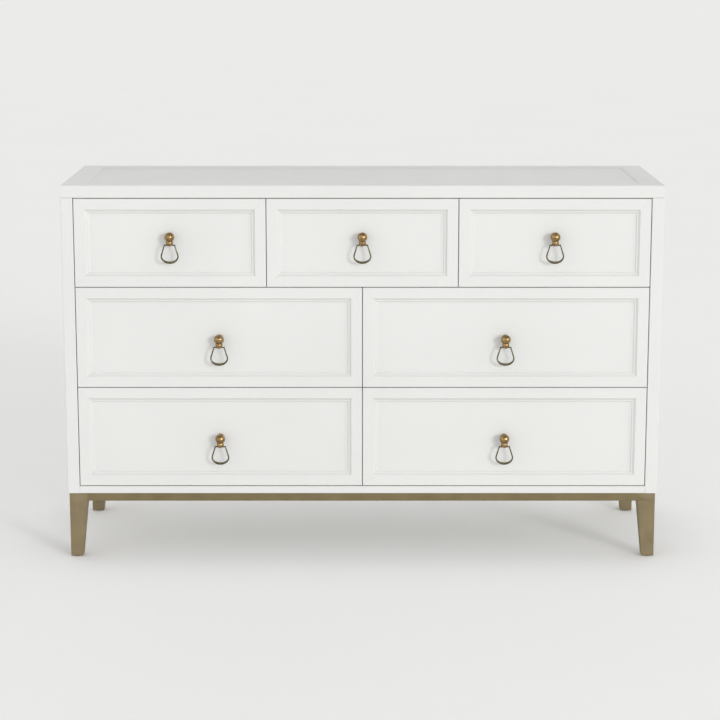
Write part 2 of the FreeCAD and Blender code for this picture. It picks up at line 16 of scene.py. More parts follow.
import bmesh
import bpy
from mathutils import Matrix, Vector


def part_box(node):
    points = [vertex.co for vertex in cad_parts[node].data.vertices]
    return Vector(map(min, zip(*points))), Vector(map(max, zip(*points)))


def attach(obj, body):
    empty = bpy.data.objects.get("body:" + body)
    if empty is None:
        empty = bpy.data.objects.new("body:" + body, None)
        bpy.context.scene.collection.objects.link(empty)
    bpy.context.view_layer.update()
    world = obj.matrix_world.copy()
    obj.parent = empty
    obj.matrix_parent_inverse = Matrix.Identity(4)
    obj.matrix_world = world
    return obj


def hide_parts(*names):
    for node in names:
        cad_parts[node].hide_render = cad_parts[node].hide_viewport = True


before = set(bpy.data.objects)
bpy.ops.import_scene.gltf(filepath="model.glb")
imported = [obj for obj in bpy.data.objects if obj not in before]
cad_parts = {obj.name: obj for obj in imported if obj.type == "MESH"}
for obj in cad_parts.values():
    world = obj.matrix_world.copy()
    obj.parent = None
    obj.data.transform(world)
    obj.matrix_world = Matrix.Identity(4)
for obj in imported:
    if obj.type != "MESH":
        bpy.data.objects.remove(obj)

LOG = logging.getLogger("dresser")
MM = 0.001
ROOT = "root"
DRAWERS = ("bottom_left", "bottom_right", "middle_left", "middle_right",
           "top_left", "top_middle", "top_right")
NEAR = 0.01 * MM            # two places closer than this are the same
WELD = 0.002 * MM           # points closer than this are merged
CAD_WELD = 0.001 * MM       # the same, in a mesh that comes from the CAD
SORT_DIGITS = 4             # places are sorted to a tenth of a millimetre

Piece = bpy.types.Object
Colour = tuple[float, float, float, float]
Flat = tuple[float, float]


class Element(Enum):
    """What a selection in edit mode is made of."""

    VERTEX = "VERT"
    EDGE = "EDGE"
    FACE = "FACE"


class Along(Enum):
    """Direction of a grain, a brushing or a turning axis."""

    X = 0
    Y = 1
    Z = 2


# ---------------------------------------------------------------- bench work


def take(*pieces: Piece) -> None:
    """Selects these objects only, the first one active.

    Args:
        pieces: The objects; the first becomes the active one.
    """
    bpy.ops.object.select_all(action="DESELECT")
    for piece in pieces:
        piece.select_set(True)
    bpy.context.view_layer.objects.active = pieces[0]


@contextmanager
def editing(piece: Piece, element: Element = Element.FACE) -> Iterator[None]:
    """Opens a piece in edit mode with nothing selected, and closes it again.

    Args:
        piece: The object to edit.
        element: What the selection holds.
    """
    take(piece)
    bpy.ops.object.mode_set(mode="EDIT")
    bpy.ops.mesh.select_mode(type=element.value)
    bpy.ops.mesh.select_all(action="DESELECT")
    yield
    bpy.ops.object.mode_set(mode="OBJECT")


def pick(piece: Piece, element: Element, wanted: Callable[[Any], bool]) -> None:
    """Selects the wanted elements of a piece that is in edit mode.

    Args:
        piece: The object in edit mode.
        element: What to select.
        wanted: Says whether one vertex, edge or face is selected.
    """
    bpy.ops.mesh.select_mode(type=element.value)
    bpy.ops.mesh.select_all(action="DESELECT")
    mesh = bmesh.from_edit_mesh(piece.data)
    parts = {Element.VERTEX: mesh.verts, Element.EDGE: mesh.edges, Element.FACE: mesh.faces}[element]
    for part in parts:
        if wanted(part):
            part.select_set(True)
    mesh.select_flush_mode()
    bmesh.update_edit_mesh(piece.data)


def name_it(name: str) -> Piece:
    """Names the object that was just made, and its mesh.

    Args:
        name: Its new name.

    Returns:
        The object.
    """
    piece = bpy.context.object
    piece.name = name
    piece.data.name = name
    return piece


def place(piece: Piece, shift: Sequence[float] = (0, 0, 0), turn: Sequence[float] = (0, 0, 0)) -> Piece:
    """Turns a piece about the origin and moves it, and keeps that in its mesh.

    Args:
        piece: The object.
        shift: How far it moves after the turn.
        turn: Turns about X, Y and Z, in degrees.

    Returns:
        The same piece, its object back at the origin.
    """
    take(piece)
    piece.rotation_euler = [math.radians(angle) for angle in turn]
    piece.location = shift
    bpy.ops.object.transform_apply(location=True, rotation=True, scale=True)
    return piece


def mirrored(piece: Piece, axes: Sequence[int]) -> Piece:
    """Mirrors a piece through the origin along the given axes.

    Args:
        piece: The object.
        axes: 0, 1 and 2 for X, Y and Z.

    Returns:
        The same piece, its faces turned outwards again.
    """
    take(piece)
    piece.scale = [-1 if axis in axes else 1 for axis in range(3)]
    bpy.ops.object.transform_apply(location=True, rotation=True, scale=True)
    face_out(piece)
    return piece


def another(piece: Piece, name: str) -> Piece:
    """Copies a piece with a mesh of its own.

    Args:
        piece: The object to copy.
        name: The copy's name.

    Returns:
        The copy.
    """
    take(piece)
    bpy.ops.object.duplicate(linked=False)
    return name_it(name)


def discard(*pieces: Piece) -> None:
    """Removes patterns and cutters that have done their work."""
    for piece in pieces:
        bpy.data.objects.remove(piece)


def face_out(piece: Piece) -> None:
    """Merges doubled points and turns every face outwards.

    Args:
        piece: The object.
    """
    with editing(piece):
        bpy.ops.mesh.select_all(action="SELECT")
        bpy.ops.mesh.remove_doubles(threshold=WELD)
        bpy.ops.mesh.select_all(action="SELECT")
        bpy.ops.mesh.normals_make_consistent(inside=False)


def smooth(piece: Piece, angle: float = 30.0) -> Piece:
    """Shades a piece smooth, with edges sharper than the angle left crisp.

    Args:
        piece: The object.
        angle: In degrees.

    Returns:
        The same piece.
    """
    take(piece)
    bpy.ops.object.shade_smooth_by_angle(angle=math.radians(angle))
    bpy.ops.object.modifier_add(type="WEIGHTED_NORMAL")
    flatten = piece.modifiers[-1]
    flatten.keep_sharp = True
    bpy.ops.object.modifier_apply(modifier=flatten.name)
    return piece


def ease(piece: Piece, width: float, segments: int = 2, angle: float = 40.0) -> Piece:
    """Rounds every edge that turns by more than the angle.

    Args:
        piece: The object.
        width: How far the rounding reaches from the edge.
        segments: Faces across it.
        angle: In degrees.

    Returns:
        The same piece.
    """
    take(piece)
    bpy.ops.object.modifier_add(type="BEVEL")
    rounding = piece.modifiers[-1]
    rounding.width = width
    rounding.segments = segments
    rounding.limit_method = "ANGLE"
    rounding.angle_limit = math.radians(angle)
    bpy.ops.object.modifier_apply(modifier=rounding.name)
    return piece


def combine(piece: Piece, tool: Piece, operation: str) -> Piece:
    """Joins a second shape to a piece or cuts it away, and discards the tool.

    Args:
        piece: The object that stays.
        tool: The shape that is joined or cut away.
        operation: "UNION" or "DIFFERENCE".

    Returns:
        The same piece.
    """
    take(piece)
    bpy.ops.object.modifier_add(type="BOOLEAN")
    step = piece.modifiers[-1]
    step.operation = operation
    step.solver = "EXACT"
    step.object = tool
    bpy.ops.object.modifier_apply(modifier=step.name)
    discard(tool)
    return piece


def block(name: str, low: Sequence[float], high: Sequence[float]) -> Piece:
    """Adds a cube drawn out between two corners, ready to be shaped.

    Args:
        name: The block's name.
        low: Its lowest corner.
        high: Its highest corner.

    Returns:
        The block.
    """
    low, high = Vector(low), Vector(high)
    bpy.ops.mesh.primitive_cube_add(size=1, location=(low + high) / 2, scale=high - low)
    bpy.ops.object.transform_apply(location=True, rotation=True, scale=True)
    return name_it(name)


def chain(name: str, points: Sequence[Vector]) -> Piece:
    """Draws a line of edges by extruding one point to the next.

    Args:
        name: The line's name.
        points: The points in order.

    Returns:
        The line of edges, open at its ends.
    """
    bpy.ops.mesh.primitive_plane_add(size=MM, location=points[0])
    piece = name_it(name)
    bpy.ops.object.transform_apply(location=True, rotation=True, scale=True)
    with editing(piece, Element.VERTEX):
        bpy.ops.mesh.select_all(action="SELECT")
        bpy.ops.mesh.merge(type="CENTER")
        for here, there in zip(points, points[1:]):
            bpy.ops.mesh.extrude_vertices_move(TRANSFORM_OT_translate={"value": there - here})
    return piece


def traced_face(name: str, points: Sequence[Vector]) -> Piece:
    """Draws a closed outline as one flat face.

    Args:
        name: The face's name.
        points: The outline in order, its last point joined to its first.

    Returns:
        The face.
    """
    piece = chain(name, points)
    ends = (Vector(points[0]), Vector(points[-1]))
    with editing(piece, Element.VERTEX):
        pick(piece, Element.VERTEX, lambda v: min((v.co - end).length for end in ends) < NEAR)
        bpy.ops.mesh.edge_face_add()
        pick(piece, Element.EDGE, lambda e: True)
        bpy.ops.mesh.edge_face_add()
    return piece


def draw_out(piece: Piece, along: Sequence[float]) -> Piece:
    """Extrudes a flat face into a bar.

    Args:
        piece: The flat face.
        along: How far it is drawn out, along X, Y and Z.

    Returns:
        The same piece.
    """
    with editing(piece):
        bpy.ops.mesh.select_all(action="SELECT")
        bpy.ops.mesh.extrude_region_move(TRANSFORM_OT_translate={"value": along})
    face_out(piece)
    return piece


def saw(piece: Piece, point: Sequence[float], normal: Sequence[float]) -> None:
    """Cuts away what lies past a plane and closes the cut.

    Args:
        piece: The object.
        point: A point of the plane.
        normal: Direction of the side that is cut away.
    """
    with editing(piece):
        bpy.ops.mesh.select_all(action="SELECT")
        bpy.ops.mesh.bisect(plane_co=point, plane_no=normal, use_fill=True, clear_outer=True)


def turned(name: str, profile: Sequence[Flat], steps: int = 48) -> Piece:
    """Spins a profile of (radius, height) points round the Z axis.

    Args:
        name: The piece's name.
        profile: The points in order, the first and the last on the axis.
        steps: Faces round the axis.

    Returns:
        The turned piece.
    """
    piece = chain(name, [Vector((radius, 0, height)) for radius, height in profile])
    with editing(piece, Element.VERTEX):
        bpy.ops.mesh.select_all(action="SELECT")
        bpy.ops.mesh.spin(steps=steps, angle=math.tau, center=(0, 0, 0), axis=(0, 0, 1))
    face_out(piece)
    return piece


def islands(node: str) -> list[tuple[Vector, Vector]]:
    """Lowest and highest corners of each separate solid in a CAD node.

    Args:
        node: The CAD node's name.

    Returns:
        The two corners of each solid, sorted by place.
    """
    mesh = bmesh.new()
    mesh.from_mesh(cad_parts[node].data)
    bmesh.ops.remove_doubles(mesh, verts=mesh.verts, dist=CAD_WELD)
    unseen = set(mesh.verts)
    boxes = []
    while unseen:
        group = [unseen.pop()]
        for vertex in group:
            near = {edge.other_vert(vertex) for edge in vertex.link_edges} & unseen
            unseen -= near
            group.extend(near)
        low = Vector([min(v.co[axis] for v in group) for axis in range(3)])
        high = Vector([max(v.co[axis] for v in group) for axis in range(3)])
        boxes.append((low, high))
    mesh.free()
    return sorted(boxes, key=lambda box: [round(x, SORT_DIGITS) for x in box[0]])


def first_shell(piece: Piece) -> tuple[set[int], int]:
    """Finds one closed solid in a piece that is in edit mode.

    Args:
        piece: The object in edit mode.

    Returns:
        Indices of the faces reached from the first face across edges that two
        faces share, and how many other faces there are.
    """
    mesh = bmesh.from_edit_mesh(piece.data)
    mesh.faces.ensure_lookup_table()
    mesh.faces.index_update()
    shell = {0}
    waiting = [mesh.faces[0]]
    while waiting:
        for edge in waiting.pop().edges:
            if len(edge.link_faces) == 2:
                beyond = [face for face in edge.link_faces if face.index not in shell]
                shell.update(face.index for face in beyond)
                waiting += beyond
    return shell, len(mesh.faces) - len(shell)


def boards_of(node: str) -> list[Piece]:
    """Copies a CAD node as one piece for each of its solids, with clean flat faces.

    Args:
        node: The CAD node's name.

    Returns:
        The pieces, sorted by place, not yet named or dressed.
    """
    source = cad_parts[node]
    source.hide_viewport = False
    copy = another(source, f"{node}_copy")
    copy.hide_viewport = False
    copy.hide_render = False
    copy.parent = None
    for key in list(copy.keys()):
        del copy[key]
    with editing(copy):
        bpy.ops.mesh.select_all(action="SELECT")
        bpy.ops.mesh.remove_doubles(threshold=CAD_WELD)
        bpy.ops.mesh.dissolve_limited(angle_limit=math.radians(1))
        shell, rest = first_shell(copy)
        while rest:
            pick(copy, Element.FACE, lambda f: f.index in shell)
            bpy.ops.mesh.separate(type="SELECTED")
            shell, rest = first_shell(copy)
    pieces = list(bpy.context.selected_objects)
    return sorted(pieces, key=lambda piece: [round(x, SORT_DIGITS) for x in span(piece)[0]])


def span(piece: Piece) -> tuple[Vector, Vector]:
    """Lowest and highest corners of a piece's mesh.

    Args:
        piece: The object.

    Returns:
        The two corners.
    """
    points = [vertex.co for vertex in piece.data.vertices]
    low = Vector([min(point[axis] for point in points) for axis in range(3)])
    high = Vector([max(point[axis] for point in points) for axis in range(3)])
    return low, high


def arc(centre: Flat, radius: float, start: float, end: float, steps: int) -> list[Flat]:
    """Points along an arc.

    Args:
        centre: Middle of the arc.
        radius: Its radius.
        start: Angle of the first point, in degrees.
        end: Angle of the last point, in degrees.
        steps: Number of chords.

    Returns:
        The points, both ends included.
    """
    angles = [math.radians(start + (end - start) * i / steps) for i in range(steps + 1)]
    return [(centre[0] + radius * math.cos(a), centre[1] + radius * math.sin(a)) for a in angles]


def rounded(corners: Sequence[tuple[float, ...]], chord: float = 12.0) -> list[Flat]:
    """Outline through corners (a, b) or (a, b, radius), with the radii drawn in.

    Args:
        corners: The corners in order.
        chord: Largest turn between two points of a rounding, in degrees.

    Returns:
        The points of the closed outline.
    """
    outline: list[Flat] = []
    for i, corner in enumerate(corners):
        here = Vector(corner[:2])
        radius = corner[2] if len(corner) > 2 else 0.0
        if not radius:
            outline.append(tuple(here))
            continue
        back = (Vector(corners[i - 1][:2]) - here).normalized()
        ahead = (Vector(corners[(i + 1) % len(corners)][:2]) - here).normalized()
        half = back.angle(ahead) / 2
        centre = here + (back + ahead).normalized() * (radius / math.sin(half))
        start = here + back * (radius / math.tan(half)) - centre
        turn = -start.angle_signed(here + ahead * (radius / math.tan(half)) - centre)
        first = math.degrees(math.atan2(start.y, start.x))
        steps = math.ceil(abs(math.degrees(turn)) / chord)
        outline += arc(tuple(centre), radius, first, first + math.degrees(turn), steps)
    return outline


# ------------------------------------------------------------------ finishes


def linear(code: str) -> Colour:
    """Turns an sRGB hex colour such as "#C0A080" into linear values.

    Args:
        code: The colour, with its # sign.

    Returns:
        Red, green, blue and full opacity.
    """
    channels = [int(code[i:i + 2], 16) / 255 for i in (1, 3, 5)]
    red, green, blue = [c / 12.92 if c <= 0.04045 else ((c + 0.055) / 1.055) ** 2.4 for c in channels]
    return (red, green, blue, 1.0)


def add_node(tree: bpy.types.NodeTree, kind: str, settings: dict[str, Any] | None = None,
             **inputs: Any) -> bpy.types.Node:
    """Adds one node to a material.

    Args:
        tree: The material's node tree.
        kind: The node's type, without its ShaderNode prefix.
        settings: Properties of the node itself.
        inputs: Values or sockets for its inputs, named with _ for a space.

    Returns:
        The new node.
    """
    node = tree.nodes.new(f"ShaderNode{kind}")
    for name, value in (settings or {}).items():
        setattr(node, name, value)
    for name, value in inputs.items():
        wanted = name.replace("_", " ").strip()
        socket = next(s for s in node.inputs if s.name == wanted and s.enabled)
        if isinstance(value, bpy.types.NodeSocket):
            tree.links.new(value, socket)
        else:
            socket.default_value = value
    return node


def sized(size_mm: float) -> float:
    """Texture scale whose features are this many millimetres wide."""
    return 1 / (size_mm * MM)


@dataclass(frozen=True)
class Finish:
    """A surface finish: one named material and the record's slot it stands for."""

    name: str
    slot: str

    def material(self) -> bpy.types.Material:
        """The finish's material, made once.

        Returns:
            The material.
        """
        if self.name in bpy.data.materials:
            return bpy.data.materials[self.name]
        material = bpy.data.materials.new(self.name)
        material.use_nodes = True
        tree = material.node_tree
        self.shade(tree, tree.nodes["Principled BSDF"])
        return material

    def shade(self, tree: bpy.types.NodeTree, shader: bpy.types.Node) -> None:
        """Builds the finish's nodes up to its shader.

        Args:
            tree: The material's node tree.
            shader: Its Principled shader.
        """
        raise NotImplementedError

    def stretched(self, tree: bpy.types.NodeTree, sizes_mm: Sequence[float]) -> bpy.types.NodeSocket:
        """Object coordinates scaled so that a unit of noise has these sizes along X, Y and Z.

        Args:
            tree: The material's node tree.
            sizes_mm: The sizes, in millimetres.

        Returns:
            The scaled coordinates.
        """
        place_on_piece = add_node(tree, "TexCoord").outputs["Object"]
        scale = [sized(size) for size in sizes_mm]
        return add_node(tree, "Mapping", Vector=place_on_piece, Scale=scale).outputs["Vector"]

    def noise(self, tree: bpy.types.NodeTree, sizes_mm: Sequence[float], detail: float = 2.0,
              roughness: float = 0.5) -> bpy.types.NodeSocket:
        """Noise with features of these sizes along X, Y and Z.

        Args:
            tree: The material's node tree.
            sizes_mm: The sizes, in millimetres.
            detail: How many finer layers it has.
            roughness: How strong they are.

        Returns:
            The noise, from 0 to 1.
        """
        where = self.stretched(tree, sizes_mm)
        return add_node(tree, "TexNoise", Vector=where, Scale=1.0, Detail=detail,
                        Roughness=roughness).outputs["Fac"]

    def between(self, tree: bpy.types.NodeTree, factor: bpy.types.NodeSocket, low: float, high: float,
                start: float = 0.3, end: float = 0.7) -> bpy.types.NodeSocket:
        """Turns a factor from start to end into a value from low to high.

        Args:
            tree: The material's node tree.
            factor: The factor.
            low: Value at the start.
            high: Value at the end.
            start: Factor that gives the low value.
            end: Factor that gives the high value.

        Returns:
            The value.
        """
        return add_node(tree, "MapRange", Value=factor, From_Min=start, From_Max=end,
                        To_Min=low, To_Max=high).outputs["Result"]

    def mixed(self, tree: bpy.types.NodeTree, factor: bpy.types.NodeSocket, colours: Sequence[str],
              start: float = 0.3, end: float = 0.7) -> bpy.types.NodeSocket:
        """Colour ramp over a factor, its colours evenly spaced from start to end.

        Args:
            tree: The material's node tree.
            factor: The factor.
            colours: sRGB hex colours in order.
            start: Factor at the first colour.
            end: Factor at the last colour.

        Returns:
            The colour.
        """
        ramp = add_node(tree, "ValToRGB", Fac=factor)
        stops = ramp.color_ramp.elements
        for i, code in enumerate(colours):
            position = start + (end - start) * i / (len(colours) - 1)
            stop = stops[i] if i < 2 else stops.new(position)
            stop.position = position
            stop.color = linear(code)
        return ramp.outputs["Color"]

    def bump(self, tree: bpy.types.NodeTree, shader: bpy.types.Node, height: bpy.types.NodeSocket,
             depth_mm: float) -> None:
        """Raises the surface by a height of this many millimetres."""
        relief = add_node(tree, "Bump", Height=height, Strength=1.0, Distance=depth_mm * MM)
        tree.links.new(relief.outputs["Normal"], shader.inputs["Normal"])


@dataclass(frozen=True)
class SatinLacquer(Finish):
    """White two-pack lacquer sprayed on sanded hardwood and MDF, and left satin.

    The eye sees a soft broad sheen, a very faint orange peel, and a colour that
    drifts a little from board to board.
    """

    name: str = "satin_white_lacquer"
    slot: str = "white_lacquer"
    colours: tuple[str, str] = ("#CECECC", "#D1D1CF")
    drift_mm: float = 350.0
    peel_mm: float = 2.2
    peel_depth_mm: float = 0.004
    haze_mm: float = 60.0
    gloss: tuple[float, float] = (0.46, 0.54)
    sheen: float = 0.3

    def shade(self, tree: bpy.types.NodeTree, shader: bpy.types.Node) -> None:
        """Drifting white, uneven sheen and orange peel.

        Args:
            tree: The material's node tree.
            shader: Its Principled shader.
        """
        drift = self.noise(tree, (self.drift_mm,) * 3)
        peel = self.noise(tree, (self.peel_mm,) * 3, detail=1.0)
        haze = self.noise(tree, (self.haze_mm,) * 3, detail=3.0)
        tree.links.new(self.mixed(tree, drift, self.colours), shader.inputs["Base Color"])
        tree.links.new(self.between(tree, haze, *self.gloss), shader.inputs["Roughness"])
        shader.inputs["Specular IOR Level"].default_value = self.sheen
        self.bump(tree, shader, peel, self.peel_depth_mm)


@dataclass(frozen=True)
class BrushedBrass(Finish):
    """Steel tube plated in antique brass, brushed along its length and sealed matt.

    The eye sees a quiet grey-gold with fine streaks along the tube. Real brush
    lines are about 0.1 mm apart; here they are drawn coarser so that they show.
    """

    name: str = "brushed_antique_brass"
    slot: str = "brushed_brass"
    along: Along = Along.X
    line_mm: float = 1.1
    streak_mm: float = 70.0
    cloud_mm: float = 45.0
    line_share: float = 0.6
    cloud_share: float = 0.5
    relief_mm: float = 0.006
    colours: tuple[str, str, str] = ("#786B50", "#827559", "#8C7F61")
    matt: tuple[float, float] = (0.58, 0.7)
    metal: float = 0.6

    def shade(self, tree: bpy.types.NodeTree, shader: bpy.types.Node) -> None:
        """Streaks along the tube in colour, roughness and relief.

        Args:
            tree: The material's node tree.
            shader: Its Principled shader.
        """
        sizes = [self.line_mm] * 3
        sizes[self.along.value] = self.streak_mm
        lines = self.noise(tree, sizes, detail=4.0, roughness=0.65)
        cloud = self.noise(tree, (self.cloud_mm,) * 3, detail=2.0)
        weighed = add_node(tree, "Math", {"operation": "MULTIPLY"}, Value=cloud)
        weighed.inputs[1].default_value = self.cloud_share
        both = add_node(tree, "Math", {"operation": "MULTIPLY_ADD"}, Value=lines)
        both.inputs[1].default_value = self.line_share
        tree.links.new(weighed.outputs[0], both.inputs[2])
        colour = self.mixed(tree, both.outputs[0], self.colours, 0.35, 0.75)
        tree.links.new(colour, shader.inputs["Base Color"])
        tree.links.new(self.between(tree, lines, *self.matt), shader.inputs["Roughness"])
        shader.inputs["Metallic"].default_value = self.metal
        self.bump(tree, shader, lines, self.relief_mm)


@dataclass(frozen=True)
class AntiqueBrass(Finish):
    """Cast brass, polished, darkened in a bath and rubbed back.

    The eye sees warm gold highlights with a brown patina left in patches.
    """

    name: str = "antique_cast_brass"
    slot: str = "antique_brass"
    colours: tuple[str, str, str] = ("#524024", "#8A7048", "#A68B62")
    patina_mm: float = 5.0
    pit_mm: float = 0.8
    pit_depth_mm: float = 0.01
    gloss: tuple[float, float] = (0.20, 0.32)

    def shade(self, tree: bpy.types.NodeTree, shader: bpy.types.Node) -> None:
        """Patchy patina over polished brass.

        Args:
            tree: The material's node tree.
            shader: Its Principled shader.
        """
        patches = self.noise(tree, (self.patina_mm,) * 3, detail=4.0, roughness=0.6)
        pits = self.noise(tree, (self.pit_mm,) * 3, detail=2.0)
        tree.links.new(self.mixed(tree, patches, self.colours, 0.25, 0.6), shader.inputs["Base Color"])
        tree.links.new(self.between(tree, patches, self.gloss[1], self.gloss[0]), shader.inputs["Roughness"])
        shader.inputs["Metallic"].default_value = 1.0
        self.bump(tree, shader, pits, self.pit_depth_mm)


@dataclass(frozen=True)
class Birch(Finish):
    """Birch, planed and sealed clear, with its grain along one direction.

    The eye sees pale straw wood with fine darker lines, slow bands of colour
    and darker end grain.
    """

    name: str = "sealed_birch"
    slot: str = "drawer_wood"
    along: Along = Along.X
    colours: tuple[str, str, str] = ("#B8976A", "#CDAF82", "#DCC49C")
    grain_mm: float = 1.6
    grain_run_mm: float = 90.0
    figure_mm: float = 22.0
    figure_run_mm: float = 400.0
    figure_share: float = 0.45
    end_tint: str = "#B99A76"
    end_strength: float = 0.55
    matt: tuple[float, float] = (0.42, 0.58)
    relief_mm: float = 0.03

    def shade(self, tree: bpy.types.NodeTree, shader: bpy.types.Node) -> None:
        """Grain lines and figure along the board, darker at its ends.

        Args:
            tree: The material's node tree.
            shader: Its Principled shader.
        """
        fine = [self.grain_mm] * 3
        broad = [self.figure_mm] * 3
        fine[self.along.value] = self.grain_run_mm
        broad[self.along.value] = self.figure_run_mm
        grain = self.noise(tree, fine, detail=5.0, roughness=0.6)
        figure = self.noise(tree, broad, detail=3.0)
        both = add_node(tree, "Mix", {"data_type": "FLOAT"}, Factor=self.figure_share, A=grain, B=figure)
        wood = self.mixed(tree, both.outputs["Result"], self.colours, 0.32, 0.66)
        facing = add_node(tree, "SeparateXYZ", Vector=add_node(tree, "NewGeometry").outputs["Normal"])
        end = add_node(tree, "Math", {"operation": "ABSOLUTE"}, Value=facing.outputs[self.along.value])
        ends = self.between(tree, end.outputs[0], 0.0, self.end_strength, 0.7, 0.95)
        dark = add_node(tree, "Mix", {"data_type": "RGBA", "blend_type": "MULTIPLY"}, Factor=ends)
        colour_inputs = [s for s in dark.inputs if s.type == "RGBA"]
        tree.links.new(wood, colour_inputs[0])
        colour_inputs[1].default_value = linear(self.end_tint)
        tree.links.new(dark.outputs[2], shader.inputs["Base Color"])
        tree.links.new(self.between(tree, grain, *self.matt), shader.inputs["Roughness"])
        self.bump(tree, shader, grain, self.relief_mm)


@dataclass(frozen=True)
class WhiteHardboard(Finish):
    """Hardboard with a white printed face, as used for cabinet backs.

    The eye sees a flat warm white with short felted fibres showing through.
    """

    name: str = "white_faced_hardboard"
    slot: str = "back_board"
    colours: tuple[str, str] = ("#CFCCC2", "#DAD8CF")
    fibre_mm: tuple[float, float, float] = (2.0, 2.0, 5.0)
    cloud_mm: float = 120.0
    cloud_share: float = 0.4
    matt: tuple[float, float] = (0.55, 0.7)
    relief_mm: float = 0.02

    def shade(self, tree: bpy.types.NodeTree, shader: bpy.types.Node) -> None:
        """Felted fibres under a thin white face.

        Args:
            tree: The material's node tree.
            shader: Its Principled shader.
        """
        fibres = self.noise(tree, self.fibre_mm, detail=6.0, roughness=0.7)
        cloud = self.noise(tree, (self.cloud_mm,) * 3)
        both = add_node(tree, "Mix", {"data_type": "FLOAT"}, Factor=self.cloud_share, A=fibres, B=cloud)
        tree.links.new(self.mixed(tree, both.outputs["Result"], self.colours), shader.inputs["Base Color"])
        tree.links.new(self.between(tree, fibres, *self.matt), shader.inputs["Roughness"])
        self.bump(tree, shader, fibres, self.relief_mm)


@dataclass(frozen=True)
class ZincSteel(Finish):
    """Rolled steel with a bright zinc plating.

    The eye sees cool grey metal with faint rolling lines and cloudy patches.
    """

    name: str = "zinc_plated_steel"
    slot: str = "zinc_slides"
    along: Along = Along.Y
    colours: tuple[str, str] = ("#A9AEB4", "#C6CACE")
    line_mm: float = 0.9
    line_run_mm: float = 60.0
    cloud_mm: float = 9.0
    cloud_share: float = 0.6
    gloss: tuple[float, float] = (0.26, 0.4)
    relief_mm: float = 0.004

    def shade(self, tree: bpy.types.NodeTree, shader: bpy.types.Node) -> None:
        """Rolling lines and cloudy plating.

        Args:
            tree: The material's node tree.
            shader: Its Principled shader.
        """
        sizes = [self.line_mm] * 3
        sizes[self.along.value] = self.line_run_mm
        lines = self.noise(tree, sizes, detail=3.0)
        cloud = self.noise(tree, (self.cloud_mm,) * 3, detail=3.0)
        both = add_node(tree, "Mix", {"data_type": "FLOAT"}, Factor=self.cloud_share, A=lines, B=cloud)
        factor = both.outputs["Result"]
        tree.links.new(self.mixed(tree, factor, self.colours), shader.inputs["Base Color"])
        tree.links.new(self.between(tree, factor, *self.gloss), shader.inputs["Roughness"])
        shader.inputs["Metallic"].default_value = 1.0
        self.bump(tree, shader, lines, self.relief_mm)


@dataclass(frozen=True)
class MouldedNylon(Finish):
    """Nylon moulded against a spark-textured tool: dark, dull and slightly grained."""

    name: str = "moulded_nylon"
    slot: str = "nylon_glide"
    colours: tuple[str, str] = ("#1F1D1B", "#2B2926")
    grain_mm: float = 0.5
    matt: tuple[float, float] = (0.5, 0.65)
    relief_mm: float = 0.02

    def shade(self, tree: bpy.types.NodeTree, shader: bpy.types.Node) -> None:
        """Fine grain in colour and relief.

        Args:
            tree: The material's node tree.
            shader: Its Principled shader.
        """
        grain = self.noise(tree, (self.grain_mm,) * 3, detail=3.0)
        tree.links.new(self.mixed(tree, grain, self.colours), shader.inputs["Base Color"])
        tree.links.new(self.between(tree, grain, *self.matt), shader.inputs["Roughness"])
        self.bump(tree, shader, grain, self.relief_mm)


@dataclass(frozen=True)
class PaintedFloor(Finish):
    """Pale painted studio floor, rolled on, with a barely visible mottle."""

    name: str = "pale_studio_paint"
    slot: str = ""
    colours: tuple[str, str] = ("#F6F6F5", "#F7F7F6")
    mottle_mm: float = 900.0
    matt: float = 0.9
    sheen: float = 0.1

    def shade(self, tree: bpy.types.NodeTree, shader: bpy.types.Node) -> None:
        """Even, matt and pale.

        Args:
            tree: The material's node tree.
            shader: Its Principled shader.
        """
        mottle = self.noise(tree, (self.mottle_mm,) * 3)
        tree.links.new(self.mixed(tree, mottle, self.colours), shader.inputs["Base Color"])
        shader.inputs["Roughness"].default_value = self.matt
        shader.inputs["Specular IOR Level"].default_value = self.sheen


LACQUER = SatinLacquer()
PULL_BRASS = AntiqueBrass()
# The ring's darker colours are painted shade: the dark the ring reflects is painted into its brass.
RING_BRASS_PAINTED_SHADE = AntiqueBrass(name="oxidised_cast_brass", colours=("#403B2B", "#5A553F", "#767055"))
HARDBOARD = WhiteHardboard()
NYLON = MouldedNylon()
SLIDE_STEEL = ZincSteel()
SCREW_STEEL = ZincSteel(name="zinc_plated_screws", slot="zinc_screws", along=Along.Z)


def tube_brass_shaded_if_level(along: Along) -> BrushedBrass:
    """Brushed brass for tubes that run one way; level tubes get darker colours, painted shade.

    Args:
        along: Direction of the tube.

    Returns:
        The finish.
    """
    name = f"antique_brass_brushed_{along.name.lower()}"
    if along is Along.Z:
        return BrushedBrass(name=name, along=along)
    # Level tubes and gussets look darker than the legs under this light: their darker colours are painted
    # shade.
    return BrushedBrass(name=name, along=along, colours=("#6E6246", "#776B4D", "#807454"))


def box_birch(along: Along) -> Birch:
    """Drawer-box birch with its grain along one direction."""
    return Birch(name=f"sealed_birch_{along.name.lower()}", along=along)


def fit(piece: Piece, body: str, finish: Finish, *stands_for: str) -> Piece:
    """Dresses a finished piece and fixes it to its body.

    Args:
        piece: The finished piece.
        body: The body it moves with.
        finish: Its surface finish.
        stands_for: CAD nodes that it replaces.

    Returns:
        The same piece.
    """
    piece.data.materials.clear()
    piece.data.materials.append(finish.material())
    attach(piece, body)
    if stands_for:
        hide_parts(*stands_for)
    LOG.info("%s: %d faces, on %s, in %s", piece.name, len(piece.data.polygons), body, finish.name)
    return piece


# ------------------------------------------------------- framed boards


